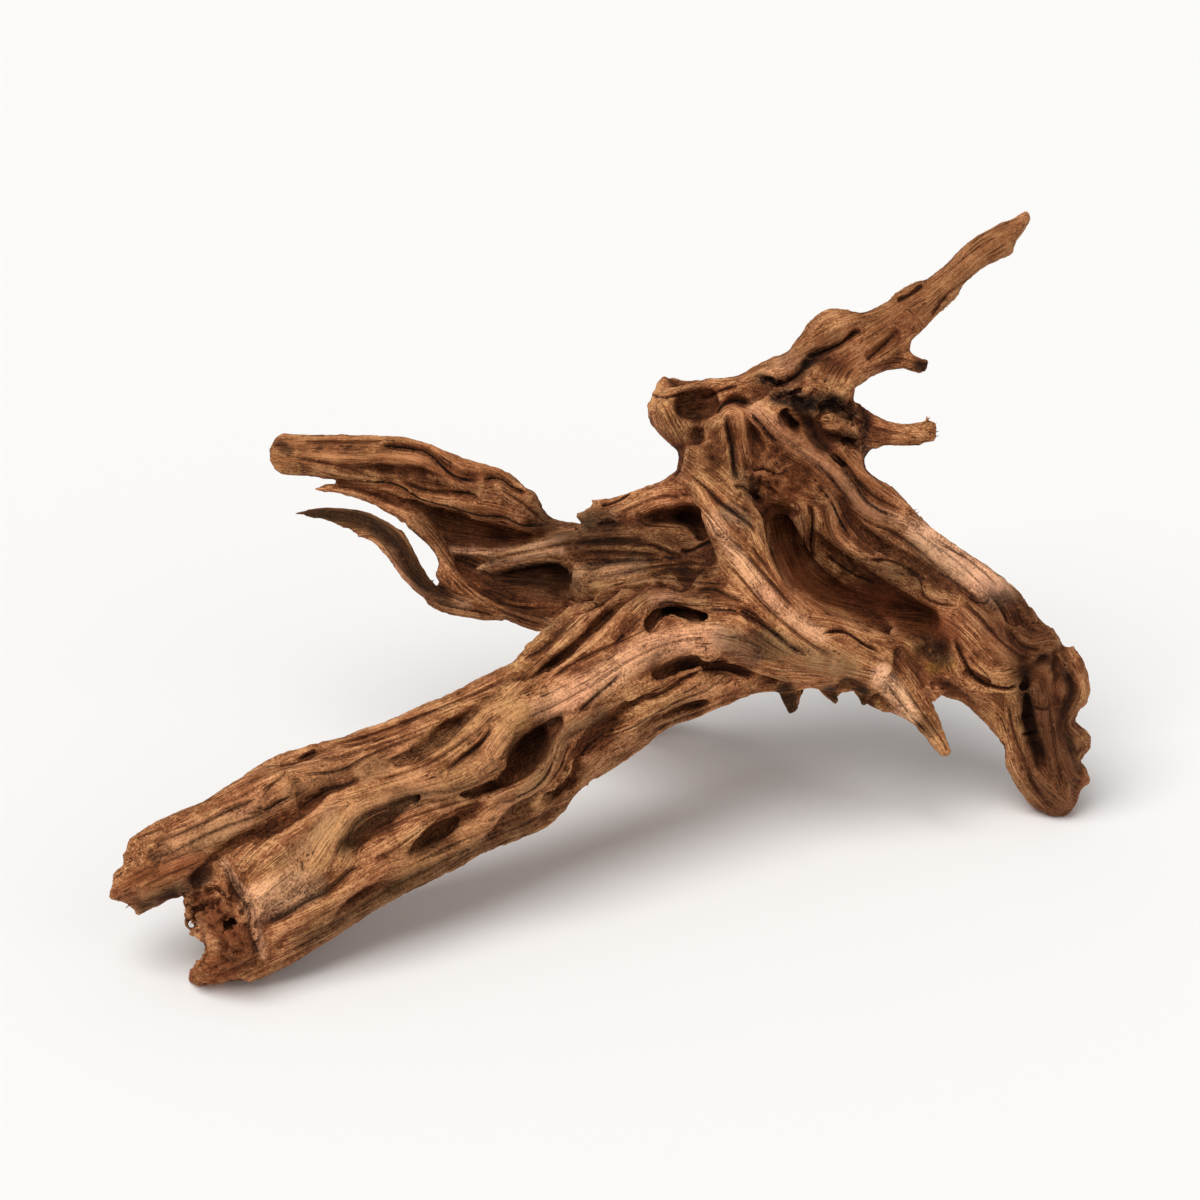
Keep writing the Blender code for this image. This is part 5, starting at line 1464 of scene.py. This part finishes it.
def raise_grain(wood, share):
    """Raises the wood's fibres along the grain lines, and lumps where it is broken or charred."""
    points, normals = points_of(wood), normals_of(wood)
    tree = surface_tree(wood)
    grain = Grain(tree)
    which, lead = grain.nearest(points)
    laid = grain.laid(points, which)
    calm = in_patches(wood, CALM)
    fade = smooth_step(lead / STRAND_GAP_MM)
    height = np.zeros(len(points))
    for rise, width, length in RELIEF:
        waves = strands(laid, width, length)
        height += rise * fade * (STRAND_RIDGED * np.abs(waves) - STRAND_SUNK + STRAND_ROLLING * waves)
    height -= STRAND_CREASE_MM * (1 - fade)
    height *= 1 - calm
    height -= CRACK_DEPTH_MM * grain.cut[which, 0] * np.exp(-((laid[:, 0] / CRACK_WIDTH_MM) ** 2))
    rough = np.maximum(in_patches(wood, ROUGH), ROUGH_EVERYWHERE_MM * (1 - calm))
    for i in range(len(points)):
        lump = noise.noise(Vector(points[i]) / (ROUGH_MM * MM))
        fine = noise.noise(Vector(points[i]) / (ROUGH_MM * MM / FINE_LUMPS))
        height[i] += rough[i] * (lump + FINE_LUMP_SHARE * fine)
    room = room_inside(points, normals, tree) * THINNEST_SHARE
    height = np.maximum(height * share, -room)
    move_points(wood, points + normals * height[:, None] * MM)


def store(mesh, name, kind, domain, values):
    """Keeps values on a mesh under a name that the material reads."""
    layer = mesh.attributes.new(name, kind, domain)
    key = {"FLOAT": "value", "FLOAT_VECTOR": "vector", "FLOAT_COLOR": "color"}[kind]
    layer.data.foreach_set(key, np.ascontiguousarray(values, np.float32).ravel())


def open_sky(points, normals, tree):
    """How much of the room over each point is open, from 0 in a deep crack to 1 on a crest."""
    turns = np.arange(SKY_RAYS) * GOLDEN_ANGLE
    heights = (np.arange(SKY_RAYS) + 0.5) / SKY_RAYS
    flat = np.sqrt(heights)
    rays = np.column_stack((np.cos(turns) * flat, np.sin(turns) * flat, np.sqrt(1 - heights)))
    helper = np.where(np.abs(normals[:, :1]) < NEARLY_SIDEWAYS, (1.0, 0.0, 0.0), (0.0, 1.0, 0.0))
    first = unit(np.cross(normals, helper))
    second = np.cross(normals, first)
    reach = SKY_REACH_MM * MM
    found = np.zeros(len(points))
    for i, point in enumerate(points):
        start = Vector(point + normals[i] * SKIN_M)
        for across, over, up in rays:
            way = Vector(first[i] * across + second[i] * over + normals[i] * up)
            distance = tree.ray_cast(start, way, reach)[3]
            found[i] += 1.0 if distance is None else distance / reach * SKY_NEAR_WALL
    return found / SKY_RAYS


def laid_stains(pixels, visible):
    """The colour of the stains at each point, and how much of it they cover."""
    stain = np.zeros((len(pixels), 4))
    for colour, strength, radius, line in STAINS:
        share = (strength * patch_share(pixels, visible, line, radius))[:, None]
        total = np.maximum(stain[:, 3:] + share * (1 - stain[:, 3:]), LEAST_STAIN)
        stain[:, :3] += (np.array(linear(STAIN_COLOURS[colour])[:3]) - stain[:, :3]) * share / total
        stain[:, 3:] = total
    return stain


def note_surface(wood):
    """Keeps what the material needs on the mesh."""
    mesh = wood.data
    points, normals, edges = points_of(wood), normals_of(wood), edges_of(wood)
    tree = surface_tree(wood)
    grain = Grain(tree)
    faces = np.array([tuple(p.vertices) for p in mesh.polygons])
    which, _ = grain.nearest(points[faces].mean(axis=1))
    laid = grain.laid(points[faces].reshape(-1, 3), np.repeat(which, 3))
    store(mesh, "grain", "FLOAT_VECTOR", "CORNER", laid)
    # The cut attribute carries the crack darkness and the painted shadow under ledges
    store(mesh, "cut", "FLOAT_VECTOR", "CORNER", np.repeat(grain.cut[which], 3, axis=0))
    crest = np.zeros(len(points))
    for passes, scale in CREST_SCALES:
        crest += ((points - relaxed(points, edges, passes)) * normals).sum(1) / MM / scale
    store(mesh, "crest", "FLOAT", "POINT", np.tanh(relaxed(crest, edges, 1)[:, 0]))
    sky = relaxed(open_sky(points, normals, tree), edges, NOTED_PASSES)[:, 0]
    store(mesh, "sky", "FLOAT", "POINT", sky)
    visible = relaxed(shown(points, normals, tree), edges, NOTED_PASSES)[:, 0]
    store(mesh, "stain", "FLOAT_COLOR", "POINT", laid_stains(seen_pixels(points), visible))
    store(mesh, "shade", "FLOAT", "POINT", in_patches(wood, SHADES))


def linear(hex_colour):
    """The linear colour of an sRGB hex value, with an alpha of 1."""
    parts = [int(hex_colour[i:i + 2], 16) / 255 for i in (1, 3, 5)]
    return (*(p / 12.92 if p <= 0.04045 else ((p + 0.055) / 1.055) ** 2.4 for p in parts), 1.0)


def add_node(tree, kind, inputs=None, **settings):
    """Adds a shader node with its settings. An input is a value, or the socket that it is linked from."""
    node = tree.nodes.new("ShaderNode" + kind)
    for name, value in settings.items():
        setattr(node, name, value)
    for key, value in (inputs or {}).items():
        if isinstance(value, bpy.types.NodeSocket):
            tree.links.new(value, node.inputs[key])
        else:
            node.inputs[key].default_value = value
    return node


def wood_noise(tree, look, grain):
    """Noise drawn out along the grain, and noise that is even all round."""
    found = {}
    for name, width, length, detail in (
        ("fibre", look.fibre_width / MM, look.fibre_length / MM, 2.0),
        ("check", CHECK_WIDER * look.fibre_width / MM, CHECK_LONGER * look.fibre_length / MM, 1.0),
        ("bundle", look.bundle_width / MM, look.bundle_length / MM, 3.0),
        ("band", BAND_WIDER * look.bundle_width / MM, BAND_LONGER * look.bundle_length / MM, 2.0),
    ):
        drawn = add_node(tree, "Mapping", {"Vector": grain, "Scale": (1 / width, 1 / width, 1 / length)})
        looks = {"Vector": drawn.outputs[0], "Scale": 1.0, "Detail": detail, "Roughness": NOISE_ROUGHNESS}
        found[name] = add_node(tree, "TexNoise", looks).outputs["Fac"]
    place_in_wood = add_node(tree, "TexCoord").outputs["Object"]
    for name, size, detail, roughness in (
        ("fleck", look.fleck_size, 3.0, 0.6),
        ("mottle", look.mottle_size, 5.0, 0.62),
        ("hue", look.hue_size, 3.0, 0.5),
    ):
        looks = {"Vector": place_in_wood, "Scale": 1 / size, "Detail": detail, "Roughness": roughness}
        found[name] = add_node(tree, "TexNoise", looks).outputs["Fac"]
    return found


def cracks_checks_and_ledge_shadow(tree, look, noted, grained):
    """Where the wood is cracked along drawn grooves and in hairline checks, with painted shadow below
    overhanging edges.
    """
    cut = add_node(tree, "SeparateXYZ", {"Vector": noted["cut"]["Vector"]}).outputs
    wander = add_node(tree, "Math", {0: grained["fleck"], 1: 0.5}, operation="SUBTRACT").outputs[0]
    sideways = add_node(tree, "SeparateXYZ", {"Vector": noted["grain"]["Vector"]}).outputs["X"]
    sideways = add_node(
        tree, "Math", {0: wander, 1: look.crack_wander / MM, 2: sideways}, operation="MULTIPLY_ADD"
    ).outputs[0]
    off_crack = add_node(tree, "Math", {0: sideways}, operation="ABSOLUTE").outputs[0]
    crack = add_node(
        tree, "MapRange",
        {
            "Value": off_crack, "From Min": CRACK_CORE_MM, "From Max": look.crack_width / MM,
            "To Min": 1.0, "To Max": 0.0,
        },
        interpolation_type="SMOOTHSTEP",
    ).outputs[0]
    crack = add_node(tree, "Math", {0: crack, 1: cut["X"]}, operation="MULTIPLY").outputs[0]
    # Painted shadow on the wood just below an overhanging edge
    below = add_node(
        tree, "MapRange", {"Value": sideways, "From Min": LEDGE_TOP_MM, "From Max": LEDGE_EDGE_MM},
        interpolation_type="SMOOTHSTEP",
    ).outputs[0]
    fading = add_node(
        tree, "MapRange",
        {
            "Value": sideways, "From Min": LEDGE_EDGE_MM, "From Max": look.ledge_shade / MM,
            "To Min": 1.0, "To Max": 0.0,
        },
        interpolation_type="SMOOTHSTEP",
    ).outputs[0]
    ledge_shadow = add_node(tree, "Math", {0: below, 1: fading}, operation="MULTIPLY").outputs[0]
    ledge_shadow = add_node(tree, "Math", {0: ledge_shadow, 1: cut["Y"]}, operation="MULTIPLY").outputs[0]
    check = add_node(
        tree, "MapRange",
        {"Value": grained["check"], "From Min": 0.3, "From Max": 0.4, "To Min": 1.0, "To Max": 0.0},
    ).outputs[0]
    checked = add_node(
        tree, "MapRange",
        {"Value": grained["mottle"], "From Min": 0.42, "From Max": 0.58, "To Min": 0.9, "To Max": 0.25},
    ).outputs[0]
    check = add_node(tree, "Math", {0: check, 1: checked}, operation="MULTIPLY").outputs[0]
    crack_and_ledge_shadow = add_node(tree, "Math", {0: crack, 1: ledge_shadow}, operation="MAXIMUM").outputs[0]
    return add_node(tree, "Math", {0: crack_and_ledge_shadow, 1: check}, operation="MAXIMUM").outputs[0]


def wood_tone(tree, crest, grained):
    """The tone: lighter on the crests and darker in the valleys, partly wear and partly painted highlight
    and shade, and streaked along the grain.
    """
    tone = 0.5
    for source, middle, weight in (
        # Painted highlight on the crests and painted shade in the valleys, partly wear
        (crest, 0.0, 0.26),
        (grained["fibre"], 0.5, 1.2),
        (grained["bundle"], 0.5, 0.5),
        (grained["band"], 0.5, 0.5),
        (grained["fleck"], 0.5, 0.8),
        (grained["mottle"], 0.5, 0.9),
    ):
        part = add_node(tree, "Math", {0: source, 1: middle}, operation="SUBTRACT").outputs[0]
        tone = add_node(tree, "Math", {0: part, 1: weight, 2: tone}, operation="MULTIPLY_ADD").outputs[0]
    return tone


def stained_colour(tree, look, noted, grained, tone):
    """The colour of clean wood: its tone, with the stains laid on in patches."""
    ramp = add_node(tree, "ValToRGB", {"Fac": tone})
    tones = ((0.0, look.dark_wood), (0.38, look.mid_wood), (0.68, look.light_wood), (1.0, look.pale_wood))
    for position, _ in tones[1:-1]:
        ramp.color_ramp.elements.new(position)
    for stop, (_, colour) in zip(ramp.color_ramp.elements, tones):
        stop.color = linear(colour)
    lit = add_node(tree, "MapRange", {"Value": tone, "To Min": 0.3, "To Max": 1.45}).outputs[0]
    patchy = add_node(tree, "Math", {0: grained["mottle"], 1: grained["fleck"]}, operation="ADD").outputs[0]
    patchy = add_node(
        tree, "MapRange",
        {"Value": patchy, "From Min": 0.82, "From Max": 1.06, "To Min": 0.35, "To Max": 1.0},
    ).outputs[0]
    share = add_node(tree, "Math", {0: noted["stain"]["Alpha"], 1: patchy}, operation="MULTIPLY").outputs[0]
    stain = add_node(
        tree, "VectorMath", {0: noted["stain"]["Color"], "Scale": lit}, operation="SCALE"
    ).outputs[0]
    return add_node(
        tree, "Mix", {"Factor": share, 6: ramp.outputs["Color"], 7: stain}, data_type="RGBA"
    ).outputs[2]


def soiled_colour(tree, look, noted, grained, crack_and_ledge_shadow, colour):
    """The colour with its redder and greener areas, its darker parts (partly painted shade, partly charred
    wood), painted shade with dirt in the hollows, and dark cracks with painted shadow under overhanging
    edges.
    """
    hue = add_node(
        tree, "MapRange", {"Value": grained["hue"], "From Min": 0.35, "From Max": 0.65}
    ).outputs[0]
    tint = add_node(
        tree, "Mix", {"Factor": hue, 6: linear(look.red_tint), 7: linear(look.olive_tint)}, data_type="RGBA"
    ).outputs[2]
    colour = add_node(
        tree, "Mix", {"Factor": 1.0, 6: colour, 7: tint}, data_type="RGBA", blend_type="MULTIPLY"
    ).outputs[2]
    # The darker parts: painted shade where the piece lies in shadow, and darker charred wood
    shaded = add_node(
        tree, "MapRange", {"Value": noted["shade"]["Fac"], "To Min": 1.0, "To Max": look.shade_depth}
    ).outputs[0]
    colour = add_node(tree, "VectorMath", {0: colour, "Scale": shaded}, operation="SCALE").outputs[0]
    # Painted shade, with dirt, darkening the hollows where little of the sky is open
    shade_and_dirt = add_node(
        tree, "MapRange",
        {
            "Value": noted["sky"]["Fac"], "From Min": 0.06, "From Max": 0.62,
            "To Min": look.shade_and_dirt_in_hollows, "To Max": 0.0,
        },
        interpolation_type="SMOOTHSTEP",
    ).outputs[0]
    dark = add_node(tree, "Math", {0: crack_and_ledge_shadow, 1: look.crack_and_shadow_darkness}, operation="MULTIPLY").outputs[0]
    dark = add_node(tree, "Math", {0: shade_and_dirt, 1: dark}, operation="MAXIMUM").outputs[0]
    # The cracks, the painted ledge shadow and the painted shade in the hollows all take the crack colour
    return add_node(
        tree, "Mix", {"Factor": dark, 6: colour, 7: linear(look.crack_and_shade_wood)}, data_type="RGBA"
    ).outputs[2]


def weathered_wood(look):
    """Water-worn root wood, dry and unvarnished: dull, with proud fibres, dark cracks, and painted shade
    with dirt in the hollows.
    """
    material = bpy.data.materials.new("Weathered wood")
    material.use_nodes = True
    tree = material.node_tree
    shader = tree.nodes["Principled BSDF"]
    noted = {
        name: add_node(tree, "Attribute", attribute_name=name).outputs
        for name in ("grain", "cut", "crest", "sky", "stain", "shade")
    }
    grained = wood_noise(tree, look, noted["grain"]["Vector"])
    crack_and_ledge_shadow = cracks_checks_and_ledge_shadow(tree, look, noted, grained)
    tone = wood_tone(tree, noted["crest"]["Fac"], grained)
    colour = stained_colour(tree, look, noted, grained, tone)
    colour = soiled_colour(tree, look, noted, grained, crack_and_ledge_shadow, colour)
    tree.links.new(colour, shader.inputs["Base Color"])

    # Relief too fine for the mesh
    relief = 0.0
    for source, weight in (
        (grained["fibre"], 0.7), (grained["bundle"], 1.0), (grained["fleck"], 0.4), (crack_and_ledge_shadow, -0.9)
    ):
        relief = add_node(
            tree, "Math", {0: source, 1: weight, 2: relief}, operation="MULTIPLY_ADD"
        ).outputs[0]
    bump = add_node(tree, "Bump", {"Height": relief, "Strength": 1.0, "Distance": look.fibre_relief})
    tree.links.new(bump.outputs[0], shader.inputs["Normal"])
    dullness = add_node(
        tree, "MapRange",
        {"Value": tone, "To Min": look.roughness + SHEEN_SPREAD, "To Max": look.roughness - SHEEN_SPREAD},
    )
    tree.links.new(dullness.outputs[0], shader.inputs["Roughness"])
    shader.inputs["IOR"].default_value = 1.45
    shader.inputs["Specular IOR Level"].default_value = 0.12
    return material


def pale_floor(look):
    """A seamless matt paper sweep: even, with no gloss."""
    material = bpy.data.materials.new("Matt paper floor")
    material.use_nodes = True
    shader = material.node_tree.nodes["Principled BSDF"]
    shader.inputs["Base Color"].default_value = linear(look.floor_colour)
    shader.inputs["Roughness"].default_value = 0.95
    shader.inputs["Specular IOR Level"].default_value = 0.1
    return material


LENGTH = {"unit": "LENGTH", "precision": 5, "min": 0.0}
SHARE = {"subtype": "FACTOR", "min": 0.0, "max": 1.0}


class DRIFTWOOD_PG_wood(PropertyGroup):
    relief_share: FloatProperty(
        name="Relief", description="How strongly the fibres stand up", default=1.0, min=0.0, max=2.0
    )
    fibre_width: FloatProperty(
        name="Fibre width", description="Width of one fibre", default=0.5 * MM, **LENGTH
    )
    fibre_length: FloatProperty(
        name="Fibre length", description="Length of one fibre", default=18 * MM, **LENGTH
    )
    bundle_width: FloatProperty(
        name="Bundle width", description="Width of a bundle", default=2.0 * MM, **LENGTH
    )
    bundle_length: FloatProperty(
        name="Bundle length", description="Length of a bundle", default=45 * MM, **LENGTH
    )
    crack_width: FloatProperty(
        name="Crack width", description="Half the width of a crack", default=0.55 * MM, **LENGTH
    )
    crack_wander: FloatProperty(
        name="Crack wander", description="How far a crack strays", default=2.0 * MM, **LENGTH
    )
    # Darkness of the cracks and of the painted shadow under ledges
    crack_and_shadow_darkness: FloatProperty(
        name="Crack darkness", description="How dark the cracks are", default=0.95, **SHARE
    )
    # Reach of the painted shadow below an overhanging edge
    ledge_shade: FloatProperty(
        name="Ledge shade", description="Reach of the dirt under an edge", default=2.8 * MM, **LENGTH
    )
    mottle_size: FloatProperty(
        name="Mottle size", description="Size of the uneven patches", default=14 * MM, **LENGTH
    )
    fleck_size: FloatProperty(name="Flecks", description="Size of the specks", default=1.2 * MM, **LENGTH)
    fibre_relief: FloatProperty(
        name="Fibre relief", description="Height of the finest relief", default=0.75 * MM, **LENGTH
    )
    # Strength of the painted shade, with dirt, in the hollows
    shade_and_dirt_in_hollows: FloatProperty(
        name="Dirt", description="How dark the hollows are", default=0.94, **SHARE
    )
    shade_depth: FloatProperty(
        name="Shade", description="Brightness that the darkest parts keep", default=0.2, **SHARE
    )
    roughness: FloatProperty(name="Roughness", description="Dullness of the wood", default=0.8, **SHARE)
    hue_size: FloatProperty(
        name="Hue patches", description="Size of the tinted areas", default=30 * MM, **LENGTH
    )
    red_tint: StringProperty(name="Red tint", description="sRGB hex of red areas", default="#FFEFE4")
    olive_tint: StringProperty(name="Olive tint", description="sRGB hex of green areas", default="#F5F0DC")
    # The tone's colours, darkest to palest; through the crest term the valleys take painted shade and the
    # crests painted highlight
    dark_wood: StringProperty(name="Dark wood", description="sRGB hex of the valleys", default="#3A1F13")
    mid_wood: StringProperty(name="Mid wood", description="sRGB hex of the body", default="#6F4229")
    light_wood: StringProperty(name="Light wood", description="sRGB hex of the ridges", default="#9C6643")
    pale_wood: StringProperty(name="Pale wood", description="sRGB hex of worn crests", default="#E0AA7C")
    # Colour of the cracks, and of the painted shade in the hollows and under ledges
    crack_and_shade_wood: StringProperty(name="Crack", description="sRGB hex deep in the cracks", default="#140B07")


class DRIFTWOOD_PG_stage(PropertyGroup):
    floor_colour: StringProperty(name="Floor", description="sRGB hex of the floor", default="#F4F3F1")
    floor_size: FloatProperty(name="Floor size", description="Side of the floor", default=14.0, **LENGTH)
    sky_strength: FloatProperty(name="Sky", description="Strength of the even light", default=0.36, min=0.0)
    key_strength: FloatProperty(name="Key", description="Strength of the large lamp", default=2.4, min=0.0)
    fill_strength: FloatProperty(name="Fill", description="Strength of the low lamp", default=0.5, min=0.0)


class DRIFTWOOD_OT_wood(Operator):
    """Grows the weathered wood from the CAD solid"""

    bl_idname = "driftwood.wood"
    bl_label = "Driftwood"

    def execute(self, context):
        sizes = context.scene.driftwood_wood
        wood = joined_copy(NODE)
        add_sticks(wood)
        regrown(wood, FIRST_VOXEL)
        cut_gaps(wood)
        soften(wood, SOFTENING_PASSES)
        wide_ridges = [ridge for ridge in RIDGES.values() if ridge[1] >= WIDE_RIDGE_MM]
        fine_ridges = [ridge for ridge in RIDGES.values() if ridge[1] < WIDE_RIDGE_MM]
        carve_front(wood, HOLLOWS.values(), LEDGES.values(), (), wide_ridges)
        regrown(wood, SECOND_VOXEL)
        soften(wood, 1)
        calm_down(wood)
        carve_front(wood, (), (), GROOVES.values(), fine_ridges)
        raise_grain(wood, sizes.relief_share)
        thin_mesh(wood, MOST_TRIANGLES)
        drop_crumbs(wood)
        add_fibres(wood)
        wood.data.shade_smooth()
        note_surface(wood)
        wood.data.materials.append(weathered_wood(sizes))
        if len(wood.data.polygons) < FEWEST_FACES:
            raise RuntimeError("the wood lost most of its faces")
        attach(wood, "root")
        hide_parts(NODE)
        return {"FINISHED"}


class DRIFTWOOD_OT_stage(Operator):
    """Adds the pale floor, the soft lights and the camera of the reference view"""

    bl_idname = "driftwood.stage"
    bl_label = "Stage"

    def execute(self, context):
        look = context.scene.driftwood_stage
        bpy.ops.object.select_all(action="DESELECT")
        bpy.ops.mesh.primitive_plane_add(size=look.floor_size, location=(0, 0, 0))
        floor = context.object
        floor.name = "floor"
        floor.data.materials.append(pale_floor(look))
        world = bpy.data.worlds.new("Soft white room")
        world.use_nodes = True
        world.node_tree.nodes["Background"].inputs["Color"].default_value = (1.0, 1.0, 1.0, 1.0)
        world.node_tree.nodes["Background"].inputs["Strength"].default_value = look.sky_strength
        context.scene.world = world
        for name, power, spread, place_m in (
            ("key", look.key_strength, KEY_SPREAD_DEG, KEY_PLACE_M),
            ("fill", look.fill_strength, FILL_SPREAD_DEG, FILL_PLACE_M),
        ):
            bpy.ops.object.light_add(type="SUN", location=place_m)
            lamp = context.object
            lamp.name = name
            lamp.data.energy = power
            lamp.data.angle = math.radians(spread)
            towards = Vector(VIEW_MIDDLE_M) - Vector(place_m)
            lamp.rotation_euler = towards.to_track_quat("-Z", "Y").to_euler()
        bpy.ops.object.camera_add(location=EYE)
        camera = context.object
        camera.rotation_euler = Vector(AWAY).to_track_quat("-Z", "Y").to_euler()
        camera.data.sensor_width = CAMERA_SENSOR_MM
        camera.data.lens = CAMERA_LENS_MM
        camera.data.dof.use_dof = False
        context.scene.camera = camera
        context.scene.view_settings.view_transform = "Standard"
        return {"FINISHED"}


class DRIFTWOOD_PT_panel(Panel):
    bl_label = "Driftwood"
    bl_idname = "DRIFTWOOD_PT_panel"
    bl_space_type = "VIEW_3D"
    bl_region_type = "UI"
    bl_category = "Driftwood"

    def draw(self, context):
        for operator, settings in (
            (DRIFTWOOD_OT_wood, context.scene.driftwood_wood),
            (DRIFTWOOD_OT_stage, context.scene.driftwood_stage),
        ):
            box = self.layout.box()
            box.operator(operator.bl_idname)
            for name in settings.__annotations__:
                box.prop(settings, name)


CLASSES = (DRIFTWOOD_PG_wood, DRIFTWOOD_PG_stage, DRIFTWOOD_OT_wood, DRIFTWOOD_OT_stage, DRIFTWOOD_PT_panel)


def register():
    for made in CLASSES:
        bpy.utils.register_class(made)
    bpy.types.Scene.driftwood_wood = PointerProperty(type=DRIFTWOOD_PG_wood)
    bpy.types.Scene.driftwood_stage = PointerProperty(type=DRIFTWOOD_PG_stage)


def unregister():
    del bpy.types.Scene.driftwood_stage
    del bpy.types.Scene.driftwood_wood
    for made in reversed(CLASSES):
        bpy.utils.unregister_class(made)


def main():
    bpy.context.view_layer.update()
    register()
    bpy.ops.driftwood.wood()
    bpy.ops.driftwood.stage()


if __name__ == "__main__":
    main()
